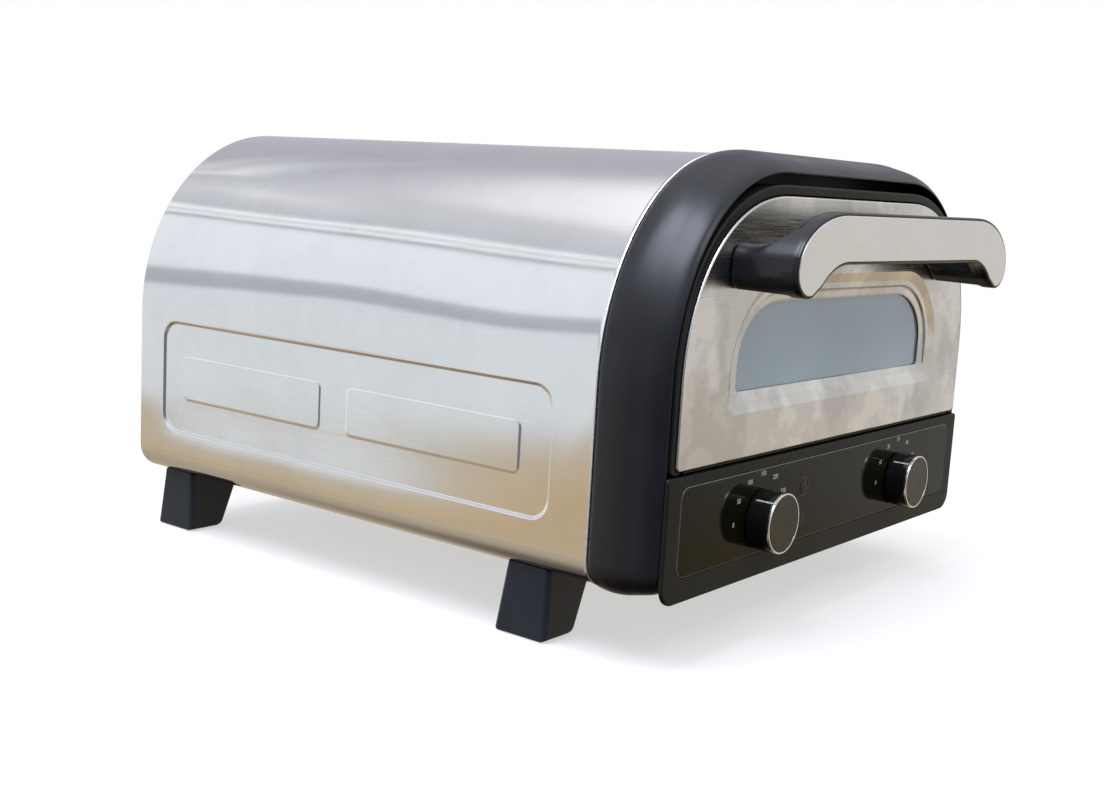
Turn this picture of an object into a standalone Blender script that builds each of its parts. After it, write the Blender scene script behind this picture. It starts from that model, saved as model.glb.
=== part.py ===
"""Countertop pizza oven: an assembly of separate named pieces, in metres, +Z up.

The front of the oven faces -Y. Depths are given from the seam between the steel shell and the
black bezel, with +Y to the back; the empty "oven" shifts them so that the origin is the centre
of the whole object's footprint.
"""
from math import cos, pi, radians, sin

import bmesh
import bpy
from mathutils import Matrix, Vector

# ---- driving dimensions ----------------------------------------------------------------------
SEAM_Y = -0.1705            # places the seam so that the footprint is centred on the origin
GAP = 0.0003                # clearance between pieces that touch
SHEET = 0.0012              # thickness of the outer sheet metal

HALF_WIDTH = 0.210          # shell
SHELL_BOTTOM = 0.044
SHELL_TOP = 0.302
SHELL_DEPTH = 0.430
SHELL_CORNER = 0.019        # lower corner radius
SHELL_RETURN_X = 0.158      # the shell folds under and ends here
REAR_FLANGE = 0.009
SHOULDER_X = 0.088          # centre of the big upper corner curves
SHOULDER_Z = 0.166
EMBOSS_DEPTH = 0.0016       # stamping in each side: a recess with two pads inside it
RECESS = (0.0304, 0.4020, 0.0775, 0.1610, 0.0140)     # y low, y high, z low, z high, radius
PADS = ((0.2305, 0.3790, 0.1025, 0.1370, 0.0050), (0.0548, 0.2065, 0.1025, 0.1370, 0.0050))
CREASE = 0.0022             # width of a stamped step

LIP_SIDE = 0.0080           # how far the bezel's lip stands in from the shell's outline
LIP_TOP = 0.0105
LIP_BOTTOM = 0.0090
BEZEL_SECTION = (           # depth from the seam, share of the lip's inset
    (0.0003, 0.03), (0.0030, -0.13), (0.0080, -0.22), (0.0140, -0.25), (0.0210, -0.17), (0.0280, 0.00),
    (0.0340, 0.15), (0.0390, 0.33), (0.0430, 0.56), (0.0453, 0.80), (0.0460, 0.93), (0.0455, 1.00),
    (0.0430, 1.00), (0.0400, 0.77), (0.0340, 0.45), (0.0280, 0.28), (0.0140, 0.05), (0.0030, 0.17),
    (0.0003, 0.30))

FACE_Y = -0.049             # front plane of the door plate and of the control fascia
FASCIA_HALF = 0.2035
FASCIA_BOTTOM = 0.042
FASCIA_TOP = 0.1174
FASCIA_REAR = -0.0165
FASCIA_CUT = (-0.055, -0.042)         # reach of the holes through the fascia
FASCIA_WALL = 0.0020
GLASS_HALF = 0.190          # control glass
GLASS_BOTTOM = 0.057
GLASS_TOP = 0.111

KNOB_X = 0.0982
KNOB_Z = 0.0793
KNOB_RADIUS = 0.019
KNOB_FRONT = -0.0667
SHAFT_RADIUS = 0.0028
LAMP_X = -0.0435
LAMP_HIGH_Z = 0.0925
LAMP_LOW_Z = 0.0700
LAMPS = (
    ("heat_lamp", LAMP_HIGH_Z, 0.0057), ("power_lamp", LAMP_LOW_Z, 0.0037))   # name, height, radius

CAVITY_HALF = 0.170         # inside of the cavity liner
CAVITY_TOP = 0.266
CAVITY_FLOOR = 0.1265
CAVITY_FRONT = -0.0130
CAVITY_REAR = 0.349
CAVITY_CORNER = 0.008
LINER_SHEET = 0.0010
LINER_CUT = (0.340, 0.385)  # reach of the holes through the liner's back wall
PIPE_HOLE_RADIUS = 0.0042
FRAME_FRONT = -0.0145       # front face of the frame round the cavity mouth

DOOR_HALF = 0.2006          # door frame
DOOR_TOP = 0.2845
DOOR_BOTTOM = 0.1185
DOOR_POWER = 2.2            # fullness of the door's shoulder curve
DOOR_SECTION = (            # depth, inset at the sides, inset at the bottom
    (-0.0474, 0.0037, 0.0014), (-0.0474, 0.0010, 0.0004), (-0.0466, 0.0000, 0.0000),
    (-0.0230, 0.0000, 0.0000), (-0.0212, 0.0015, 0.0006), (-0.0212, 0.0080, 0.0160),
    (-0.0230, 0.0080, 0.0160), (-0.0230, 0.0020, 0.0012), (-0.0430, 0.0020, 0.0012),
    (-0.0430, 0.0037, 0.0014))
PLATE_HALF = 0.1963         # steel door plate
PLATE_TOP = 0.2779
PLATE_BOTTOM = 0.1205
PLATE_SHEET = 0.0010
PANE = (0.145, 0.1535, 0.2225)        # half width, bottom, top
PANE_SHEET = 0.0030
INNER_PANE_Y = -0.0242
PIVOT_Y = -0.045            # hinge axis, along X
PIVOT_Z = 0.1245
ROD_RADIUS = 0.0016
ROD_HALF = 0.1948
ARM_X = 0.1892              # middle of each hinge arm
ARM_WIDTH = 0.0025

WINDOW_HALF = 0.148         # outer edge of the stamped window surround
WINDOW_TOP = 0.2305
WINDOW_BOTTOM = 0.148
WINDOW_DEPTH = 0.0056       # the surround steps back this far
WINDOW_STEPS = (            # share of the depth, share of the inset
    (0.00, 0.00), (0.32, 0.16), (0.39, 0.45), (0.71, 0.58), (0.79, 0.87), (1.00, 1.00))
INSET_SIDE = 0.0100
INSET_TOP = 0.0155
INSET_BOTTOM = 0.0125

HANDLE_FRONT = -0.0935
HANDLE_HALF = 0.1558
HANDLE_TOP = 0.2687
HANDLE_UNDER = 0.2417
HANDLE_BAR_BACK = -0.0785
HANDLE_SHEET = 0.0012       # the steel plate on the handle's front
HANDLE_TIP = 0.0143         # radius of the down-turned ends
HANDLE_TIP_Z = 0.2370
HANDLE_CURL = 0.0474        # radius of the bar's underside beside each end
HANDLE_CURL_X = 0.095
HANDLE_SCREW_X = 0.142
HANDLE_SCREW_Z = 0.2350

ELEMENT_RADIUS = 0.0032
ELEMENT_HALF = 0.120
ELEMENT_FRONT = 0.040
ELEMENT_BACK = 0.300
ELEMENT_END = 0.360
TERMINAL_X = 0.025
UPPER_ELEMENT_Z = 0.2480
LOWER_ELEMENT_Z = 0.1318
SENSOR_X = 0.150
SENSOR_Z = 0.2150
TERMINAL_BOX = (0.038, 0.3505, 0.3680, 0.008)      # half width, y low, y high, half height
POCKET_MARGIN = 0.002

STONE_HALF = 0.163
STONE_FRONT = 0.010
STONE_REAR = 0.336
STONE_BOTTOM = 0.1380
STONE_TOP = 0.1500

FOOT_TOP = SHELL_BOTTOM - GAP
FOOT_BOTTOM = 0.0006
FOOT_SCREW_INSET = 0.0160   # screw centre in from the foot's outer face
PAD_HEIGHT = 0.0026
FRONT_FOOT = (0.2020, 0.033)     # outer face X, front face Y
REAR_FOOT = (0.1985, 0.380)
FOOT_LENGTH = 0.0335        # front to back at the top
FOOT_SPREAD = 0.0085        # and this much more at the bottom
FOOT_EDGE = 0.0014
FOOT_TOP_WIDTH = 0.0470
FOOT_LOW_WIDTH = 0.0330
PAD_HALF_WIDTH = 0.0085
PAD_LENGTH = (0.007, 0.037)

REAR_SCREWS = (("lower_left", -0.2045, 0.100), ("lower_right", 0.2045, 0.100),
               ("upper_left", -0.0700, 0.2970), ("upper_right", 0.0700, 0.2970))
GLAND_X = 0.140
GLAND_Z = 0.082
GLAND_BORE = 0.0038
REAR_CUT = (0.405, 0.440)   # reach of the holes through the back
VENT_ROWS = 6
VENT_PITCH = 0.014
VENT_LOW_Z = 0.150
VENT_HEIGHT = 0.005
VENT_HALF = 0.045
BASE_SLOTS = 7
BASE_SLOT_PITCH = 0.036

CORNER_STEPS = 4
SHOULDER_STEPS = 10
ROUND_STEPS = 28
SMALL_STEPS = 12

# colour, roughness, metallic
STEEL = ((0.70, 0.70, 0.71), 0.30, 1.0)
DOOR_STEEL = ((0.66, 0.65, 0.63), 0.34, 1.0)
DARK_STEEL = ((0.32, 0.32, 0.33), 0.45, 1.0)
BRIGHT_STEEL = ((0.80, 0.80, 0.80), 0.15, 1.0)
SATIN_BLACK = ((0.030, 0.032, 0.036), 0.42, 0.0)
GLOSS_BLACK = ((0.020, 0.020, 0.016), 0.06, 0.0)
FOOT_BLACK = ((0.024, 0.025, 0.028), 0.55, 0.0)
RUBBER = ((0.015, 0.015, 0.015), 0.85, 0.0)
GLASS = ((0.38, 0.43, 0.46), 0.05, 0.0)
STONE = ((0.62, 0.55, 0.44), 0.90, 0.0)
CERAMIC = ((0.86, 0.84, 0.78), 0.55, 0.0)
WOOL = ((0.80, 0.77, 0.66), 1.00, 0.0)
AMBER = ((0.55, 0.16, 0.03), 0.15, 0.0)
ZINC = ((0.55, 0.55, 0.54), 0.38, 1.0)


# ---- making and joining objects --------------------------------------------------------------
def clear_scene():
    for item in list(bpy.data.objects):
        bpy.data.objects.remove(item, do_unlink=True)


def make_empty(name, location, parent=None):
    empty = bpy.data.objects.new(name, None)
    empty.location = location
    empty.parent = parent
    bpy.context.scene.collection.objects.link(empty)
    return empty


def make_material(name, finish):
    colour, roughness, metallic = finish
    material = bpy.data.materials.new(name)
    material.use_nodes = True
    shader = material.node_tree.nodes["Principled BSDF"]
    shader.inputs["Base Color"].default_value = (*colour, 1.0)
    shader.inputs["Roughness"].default_value = roughness
    shader.inputs["Metallic"].default_value = metallic
    return material


def make_piece(name, mesh_builder, finish, parent):
    """Turn a bmesh in oven coordinates into a named object under its parent empty."""
    mesh = bpy.data.meshes.new(name)
    mesh_builder.to_mesh(mesh)
    mesh_builder.free()
    mesh.shade_smooth()
    mesh.set_sharp_from_angle(angle=radians(35))
    mesh.materials.append(make_material(name, finish))
    piece = bpy.data.objects.new(name, mesh)
    bpy.context.scene.collection.objects.link(piece)
    attach(piece, parent)
    return piece


def attach(piece, parent):
    """Parent a piece, keeping its coordinates relative to the seam."""
    piece.parent = parent
    if parent.parent is not None:
        piece.matrix_parent_inverse = Matrix.Translation(-parent.location)


def make_cutter(name, mesh_builder, parent):
    """A shape that only cuts or joins other pieces."""
    mesh = bpy.data.meshes.new(name)
    mesh_builder.to_mesh(mesh)
    mesh_builder.free()
    cutter = bpy.data.objects.new(name, mesh)
    cutter.hide_render = True
    cutter.display_type = "WIRE"
    bpy.context.scene.collection.objects.link(cutter)
    attach(cutter, parent)
    return cutter


def combine(piece, tool, operation="DIFFERENCE"):
    step = piece.modifiers.new(tool.name, "BOOLEAN")
    step.operation = operation
    step.object = tool
    step.solver = "EXACT"


# ---- outlines, as lists of (across, up) points -----------------------------------------------
def arc(centre, radii, start, end, steps, power=2.0):
    """Points on a (super)ellipse between two angles in degrees."""
    points = []
    for step in range(steps + 1):
        angle = radians(start + (end - start) * step / steps)
        across = abs(cos(angle)) ** (2 / power) * (1 if cos(angle) > 0 else -1)
        up = abs(sin(angle)) ** (2 / power) * (1 if sin(angle) > 0 else -1)
        points.append((centre[0] + radii[0] * across, centre[1] + radii[1] * up))
    return points


def mirrored(half):
    """Close a right half, listed from bottom to top, with its mirror image."""
    return half + [(-across, up) for across, up in reversed(half)]


def arch(side, top, bottom, corner, power=2.0):
    """The oven's cross-section: flat bottom, straight sides, curved shoulders, flat top."""
    half = arc((side - corner, bottom + corner), (corner, corner), -90, 0, CORNER_STEPS)
    radii = (side - SHOULDER_X, top - SHOULDER_Z)
    half += arc((SHOULDER_X, SHOULDER_Z), radii, 0, 90, SHOULDER_STEPS, power)
    return mirrored(half)


def shell_arch(inset):
    """The shell's own outline, moved in by an even inset."""
    return arch(HALF_WIDTH - inset, SHELL_TOP - inset, SHELL_BOTTOM + inset, SHELL_CORNER - inset)


def rounded_box(left, right, low, high, low_radius, high_radius, steps=CORNER_STEPS):
    """Closed rounded rectangle, anticlockwise from its lower right corner."""
    points = arc((right - low_radius, low + low_radius), (low_radius, low_radius), -90, 0, steps)
    points += arc((right - high_radius, high - high_radius), (high_radius, high_radius), 0, 90, steps)
    points += arc((left + high_radius, high - high_radius), (high_radius, high_radius), 90, 180, steps)
    points += arc((left + low_radius, low + low_radius), (low_radius, low_radius), 180, 270, steps)
    return points


def window(share):
    """Outline of the window surround; share runs from 0, its outer edge, to 1, at the glass."""
    side = WINDOW_HALF - INSET_SIDE * share
    top = WINDOW_TOP - INSET_TOP * share
    corner = (0.043 - 0.015 * share, 0.060 - 0.026 * share)
    half = arc((side - 0.003, window_bottom(share) + 0.003), (0.003, 0.003), -90, 0, 2)
    half += arc((side - corner[0], top - corner[1]), corner, 0, 90, 9, 1.85 + 0.15 * share)
    return mirrored(half)


def window_bottom(share):
    return WINDOW_BOTTOM + INSET_BOTTOM * share


def handle_outline(grow):
    """Front view of the handle: a bar whose ends curve down; grow widens it all round."""
    curl, tip = HANDLE_CURL - grow, HANDLE_TIP + grow
    half = arc((HANDLE_CURL_X, HANDLE_UNDER - HANDLE_CURL), (curl, curl), 90, 47, 5)
    half += arc((HANDLE_HALF - HANDLE_TIP, HANDLE_TIP_Z), (tip, tip), -105, 0, 6)
    crown = (HANDLE_HALF - 0.100 + grow, HANDLE_TOP - HANDLE_TIP_Z + grow)
    half += arc((0.100, HANDLE_TIP_Z), crown, 12, 90, 8)
    return mirrored(half)


# ---- solids ----------------------------------------------------------------------------------
def at_y(depth, outline):
    return [(across, depth, up) for across, up in outline]


def at_x(side, outline):
    return [(side, across, up) for across, up in outline]


def loft(rings, closed=False):
    """Skin equal rings of points; open lofts get flat ends, closed ones join up with the start."""
    solid = bmesh.new()
    loops = [[solid.verts.new(point) for point in ring] for ring in rings]
    following = loops[1:] + loops[:1] if closed else loops[1:]
    for near, far in zip(loops, following):
        for index in range(len(near)):
            after = (index + 1) % len(near)
            solid.faces.new((near[index], near[after], far[after], far[index]))
    if not closed:
        solid.faces.new(loops[0])
        solid.faces.new(loops[-1])
    bmesh.ops.recalc_face_normals(solid, faces=solid.faces)
    return solid


def block(x_range, y_range, z_range):
    left, right = x_range
    low, high = z_range
    outline = [(left, low), (right, low), (right, high), (left, high)]
    return loft([at_y(y_range[0], outline), at_y(y_range[1], outline)])


def turned(profile, axis, centre, steps=ROUND_STEPS, closed=False):
    """Turn (radius, height) points about an axis; a profile that isn't closed starts and ends on it."""
    solid = bmesh.new()
    columns = []
    for radius, height in profile:
        column = []
        count = steps if radius > 0 else 1
        for step in range(count):
            angle = 2 * pi * step / steps
            first, second = radius * cos(angle), radius * sin(angle)
            spot = {"X": (height, first, second), "Y": (first, height, second), "Z": (first, second, height)}
            column.append(solid.verts.new(Vector(spot[axis]) + Vector(centre)))
        columns.append(column)
    following = columns[1:] + columns[:1] if closed else columns[1:]
    for near, far in zip(columns, following):
        for step in range(steps):
            after = (step + 1) % steps
            corners = [near[step % len(near)], near[after % len(near)]]
            corners += [far[after % len(far)], far[step % len(far)]]
            unique = [corner for index, corner in enumerate(corners) if corner not in corners[:index]]
            solid.faces.new(unique)
    bmesh.ops.recalc_face_normals(solid, faces=solid.faces)
    return solid


def rod(radius, axis, centre, low, high, steps=SMALL_STEPS):
    return turned([(0, low), (radius, low), (radius, high), (0, high)], axis, centre, steps)


def merged(solids):
    """Put several solids that don't touch into one mesh, for use as one cutter."""
    whole = bmesh.new()
    for solid in solids:
        scratch = bpy.data.meshes.new("scratch")
        solid.to_mesh(scratch)
        solid.free()
        whole.from_mesh(scratch)
        bpy.data.meshes.remove(scratch)
    return whole


def rounded_path(corners, radius, steps=4):
    """A route through right-angled corners, each turned with an arc."""
    points = [Vector(corners[0])]
    for before, corner, after in zip(corners, corners[1:], corners[2:]):
        corner = Vector(corner)
        back = (Vector(before) - corner).normalized() * radius
        ahead = (Vector(after) - corner).normalized() * radius
        centre = corner + back + ahead
        for step in range(steps + 1):
            angle = (pi / 2) * step / steps
            points.append(centre - ahead * cos(angle) - back * sin(angle))
    points.append(Vector(corners[-1]))
    return points


def make_tube(name, points, radius, finish, parent):
    curve = bpy.data.curves.new(name, "CURVE")
    curve.dimensions = "3D"
    curve.bevel_depth = radius
    curve.bevel_resolution = 2
    curve.use_fill_caps = True
    spline = curve.splines.new("POLY")
    spline.points.add(len(points) - 1)
    for spot, point in zip(spline.points, points):
        spot.co = (*point, 1.0)
    curve.materials.append(make_material(name, finish))
    tube = bpy.data.objects.new(name, curve)
    bpy.context.scene.collection.objects.link(tube)
    attach(tube, parent)
    return tube


# ---- outer shell -----------------------------------------------------------------------------


def rounded_yz(region, inset):
    left, right, low, high, radius = region
    radius -= inset
    return rounded_box(left + inset, right - inset, low + inset, high - inset, radius, radius)


def fill_between(sheet, loops):
    """Flat face between an outer loop of vertices and the loops inside it."""
    edges = []
    for loop in loops:
        for near, far in zip(loop, loop[1:] + loop[:1]):
            edge = sheet.edges.get((near, far)) or sheet.edges.new((near, far))
            edges.append(edge)
    bmesh.ops.triangle_fill(sheet, edges=edges, use_beauty=True)


def step_between(sheet, outer, inner):
    for index in range(len(outer)):
        after = (index + 1) % len(outer)
        sheet.faces.new((outer[index], outer[after], inner[after], inner[index]))


def side_wall(sheet, side, border):
    """One flat side: a stamped recess with two pads inside it that stand flush with the side."""
    def loop(region, inset, depth):
        outline = rounded_yz(region, inset)
        return [sheet.verts.new((side * (HALF_WIDTH - depth), across, up)) for across, up in outline]

    recess_edge = loop(RECESS, 0, 0)
    recess_floor = loop(RECESS, CREASE, EMBOSS_DEPTH)
    pad_feet = [loop(pad, 0, EMBOSS_DEPTH) for pad in PADS]
    pad_tops = [loop(pad, CREASE, 0) for pad in PADS]
    fill_between(sheet, [border, recess_edge])
    step_between(sheet, recess_edge, recess_floor)
    fill_between(sheet, [recess_floor] + pad_feet)
    for foot, top in zip(pad_feet, pad_tops):
        step_between(sheet, foot, top)
        sheet.faces.new(top)


def make_outer_shell(parent, cutters):
    """Sheet folded round the body, with a flange at the back and returns underneath."""
    outline = shell_arch(0)
    rear = shell_arch(REAR_FLANGE)
    path = [(SHELL_RETURN_X, SHELL_BOTTOM)] + outline + [(-SHELL_RETURN_X, SHELL_BOTTOM)]
    rear = [(SHELL_RETURN_X, SHELL_BOTTOM + REAR_FLANGE)] + rear
    rear += [(-SHELL_RETURN_X, SHELL_BOTTOM + REAR_FLANGE)]
    sheet = bmesh.new()
    front_edge = [sheet.verts.new((across, 0, up)) for across, up in path]
    back_edge = [sheet.verts.new((across, SHELL_DEPTH, up)) for across, up in path]
    flange_edge = [sheet.verts.new((across, SHELL_DEPTH, up)) for across, up in rear]
    right_wall = 1 + CORNER_STEPS
    left_wall = len(path) - 3 - CORNER_STEPS
    for index in range(len(path) - 1):
        corners = (front_edge[index], front_edge[index + 1], back_edge[index + 1], back_edge[index])
        if index == right_wall:
            side_wall(sheet, 1, list(corners))
        elif index == left_wall:
            side_wall(sheet, -1, list(corners))
        else:
            sheet.faces.new(corners)
        flange = (back_edge[index], back_edge[index + 1], flange_edge[index + 1], flange_edge[index])
        sheet.faces.new(flange)
    bmesh.ops.recalc_face_normals(sheet, faces=sheet.faces)
    top_face = max(sheet.faces, key=lambda face: face.calc_center_median().z)
    if top_face.normal.z < 0:
        bmesh.ops.reverse_faces(sheet, faces=sheet.faces)
    shell = make_piece("outer_shell", sheet, STEEL, parent)
    thick = shell.modifiers.new("thickness", "SOLIDIFY")
    thick.thickness = SHEET
    thick.offset = -1
    thick.use_even_offset = True
    for cutter in cutters:
        combine(shell, cutter)


# ---- other body pieces -----------------------------------------------------------------------
def make_base_plate(parent, cutters):
    low = SHELL_BOTTOM + SHEET + GAP
    plate = block((-0.1895, 0.1895), (0.003, 0.416), (low, low + SHEET))
    piece = make_piece("base_plate", plate, DARK_STEEL, parent)
    for cutter in cutters:
        combine(piece, cutter)


def vent_slots(parent):
    """Slots through the rear panel, and a row through the base."""
    slots = []
    for group in (-1, 1):
        middle = group * 0.085
        for row in range(VENT_ROWS):
            height = VENT_LOW_Z + VENT_PITCH * row
            outline = rounded_box(middle - VENT_HALF, middle + VENT_HALF, height, height + VENT_HEIGHT,
                                  0.0024, 0.0024, 2)
            slots.append(loft([at_y(depth, outline) for depth in REAR_CUT]))
    for column in range(BASE_SLOTS):
        middle = (column - BASE_SLOTS // 2) * BASE_SLOT_PITCH
        slots.append(block((middle - 0.003, middle + 0.003), (0.150, 0.270), (0.035, 0.055)))
    return make_cutter("vent_slots", merged(slots), parent)


def make_rear_panel(parent, cutters):
    back = SHELL_DEPTH - SHEET - GAP
    front = back - 0.011
    outer = SHEET + GAP
    rings = [at_y(back, shell_arch(outer)), at_y(front, shell_arch(outer))]
    rings += [at_y(front, shell_arch(outer + SHEET)), at_y(back - SHEET, shell_arch(outer + SHEET))]
    for ring in rings:
        for index, (across, depth, up) in enumerate(ring):
            ring[index] = (across, depth, max(up, SHELL_BOTTOM + 2 * SHEET + 2 * GAP))
    panel = make_piece("rear_panel", loft(rings), DARK_STEEL, parent)
    for cutter in cutters:
        combine(panel, cutter)


def make_front_bezel(parent):
    rings = []
    for depth, share in BEZEL_SECTION:
        power = 2.0 + 0.1 * max(share, 0)
        outline = arch(HALF_WIDTH - LIP_SIDE * share, SHELL_TOP - LIP_TOP * share,
                       SHELL_BOTTOM + LIP_BOTTOM * share, SHELL_CORNER - 0.007 * share, power)
        rings.append(at_y(-depth, outline))
    make_piece("front_bezel", loft(rings, closed=True), SATIN_BLACK, parent)


def make_front_frame(parent):
    outer = arch(HALF_WIDTH - 0.0040, SHELL_TOP - 0.0040, FASCIA_TOP + 0.0021, 0.004)
    mouth = arch(CAVITY_HALF, CAVITY_TOP, CAVITY_FLOOR, CAVITY_CORNER)
    back = FRAME_FRONT + SHEET
    rings = [at_y(FRAME_FRONT, outer), at_y(back, outer), at_y(back, mouth), at_y(FRAME_FRONT, mouth)]
    make_piece("front_frame", loft(rings, closed=True), DARK_STEEL, parent)


def grown_cavity(grow):
    return arch(CAVITY_HALF + grow, CAVITY_TOP + grow, CAVITY_FLOOR - grow, CAVITY_CORNER + grow)


def make_cavity_liner(parent, pipe_holes):
    rings = [at_y(CAVITY_REAR + LINER_SHEET, grown_cavity(LINER_SHEET)),
             at_y(CAVITY_FRONT, grown_cavity(LINER_SHEET)),
             at_y(CAVITY_FRONT, grown_cavity(0)), at_y(CAVITY_REAR, grown_cavity(0))]
    liner = make_piece("cavity_liner", loft(rings), DARK_STEEL, parent)
    combine(liner, pipe_holes)


def make_insulation(parent, pocket):
    inner = grown_cavity(LINER_SHEET + 0.001)
    outer = arch(0.2000, 0.2950, 0.1010, 0.012)
    rings = [at_y(0.004, outer), at_y(0.346, outer), at_y(0.346, inner), at_y(0.004, inner)]
    make_piece("insulation_wrap", loft(rings, closed=True), WOOL, parent)
    slab = loft([at_y(0.3515, grown_cavity(0.012)), at_y(0.3780, grown_cavity(0.012))])
    combine(make_piece("insulation_rear", slab, WOOL, parent), pocket)


# ---- cavity contents -------------------------------------------------------------------------
def pipe_holes(parent):
    """Holes through the liner's back wall for the element ends and the sensor."""
    heights = (UPPER_ELEMENT_Z, LOWER_ELEMENT_Z)
    spots = [(side * TERMINAL_X, height) for side in (-1, 1) for height in heights]
    spots.append((SENSOR_X, SENSOR_Z))
    holes = [rod(PIPE_HOLE_RADIUS, "Y", (across, 0, up), *LINER_CUT) for across, up in spots]
    return make_cutter("pipe_holes", merged(holes), parent)


def terminal_pockets(parent):
    pockets = []
    half = TERMINAL_BOX[0] + POCKET_MARGIN
    rise = TERMINAL_BOX[3] + POCKET_MARGIN
    for height in (UPPER_ELEMENT_Z, LOWER_ELEMENT_Z):
        pockets.append(block((-half, half), (0.345, 0.385), (height - rise, height + rise)))
    pockets.append(block((SENSOR_X - 0.006, SENSOR_X + 0.006), (0.345, 0.385),
                         (SENSOR_Z - 0.006, SENSOR_Z + 0.006)))
    return make_cutter("terminal_pockets", merged(pockets), parent)


def make_elements(parent, holes):
    for name, height in (("upper", UPPER_ELEMENT_Z), ("lower", LOWER_ELEMENT_Z)):
        corners = [(-TERMINAL_X, ELEMENT_END), (-TERMINAL_X, ELEMENT_BACK), (-ELEMENT_HALF, ELEMENT_BACK),
                   (-ELEMENT_HALF, ELEMENT_FRONT), (ELEMENT_HALF, ELEMENT_FRONT),
                   (ELEMENT_HALF, ELEMENT_BACK), (TERMINAL_X, ELEMENT_BACK), (TERMINAL_X, ELEMENT_END)]
        route = rounded_path([(across, depth, height) for across, depth in corners], 0.022)
        make_tube(name + "_heating_element", route, ELEMENT_RADIUS, DARK_STEEL, parent)
        half, front, back, rise = TERMINAL_BOX
        ceramic = block((-half, half), (front, back), (height - rise, height + rise))
        combine(make_piece(name + "_terminal_block", ceramic, CERAMIC, parent), holes)


def make_hanger(parent):
    """A bent strip that carries the front run of the upper element from the cavity's roof."""
    reach = ELEMENT_RADIUS + GAP
    strip = 0.0012
    roof = CAVITY_TOP - GAP
    hook = [(-reach - strip, -reach - strip), (reach, -reach - strip), (reach, -reach), (-reach, -reach)]
    outline = [(ELEMENT_FRONT + depth, UPPER_ELEMENT_Z + up) for depth, up in hook]
    rear, front = ELEMENT_FRONT - reach, ELEMENT_FRONT - reach - strip
    outline += [(rear, roof - strip), (rear + 0.012, roof - strip), (rear + 0.012, roof), (front, roof)]
    make_piece("element_hanger", loft([at_x(-0.006, outline), at_x(0.006, outline)]), ZINC, parent)


def make_stone(parent):
    outline = rounded_box(-STONE_HALF, STONE_HALF, STONE_FRONT, STONE_REAR, 0.012, 0.012)
    shy = rounded_box(-STONE_HALF + 0.001, STONE_HALF - 0.001, STONE_FRONT + 0.001, STONE_REAR - 0.001,
                      0.011, 0.011)
    levels = ((STONE_BOTTOM, shy), (STONE_BOTTOM + 0.001, outline), (STONE_TOP - 0.001, outline),
              (STONE_TOP, shy))
    rings = [[(across, depth, level) for across, depth in shape] for level, shape in levels]
    make_piece("baking_stone", loft(rings), STONE, parent)
    wall = CAVITY_HALF - GAP
    top = STONE_BOTTOM - GAP
    leg = [(0.150, top - SHEET), (wall, top - SHEET), (wall, top + 0.009), (wall - SHEET, top + 0.009),
           (wall - SHEET, top), (0.150, top)]
    for side, name in ((-1, "left"), (1, "right")):
        outline = [(side * across, up) for across, up in leg]
        rail = loft([at_y(0.012, outline), at_y(0.334, outline)])
        make_piece("stone_rail_" + name, rail, ZINC, parent)


def make_sensor(parent):
    profile = [(0, 0.170), (0.0022, 0.171), (0.0030, 0.174), (0.0030, 0.300), (0.0014, 0.304),
               (0.0014, 0.366), (0, 0.366)]
    bulb = turned(profile, "Y", (SENSOR_X, 0, SENSOR_Z), 12)
    make_piece("temperature_sensor", bulb, BRIGHT_STEEL, parent)


# ---- controls --------------------------------------------------------------------------------
def control_holes(parent):
    """Shaft and lamp holes through the fascia and the control glass."""
    holes = [rod(0.0045, "Y", (side * KNOB_X, 0, KNOB_Z), *FASCIA_CUT) for side in (-1, 1)]
    for name, height, radius in LAMPS:
        holes.append(rod(radius + GAP, "Y", (LAMP_X, 0, height), *FASCIA_CUT, 16))
    return make_cutter("control_holes", merged(holes), parent)


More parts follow.
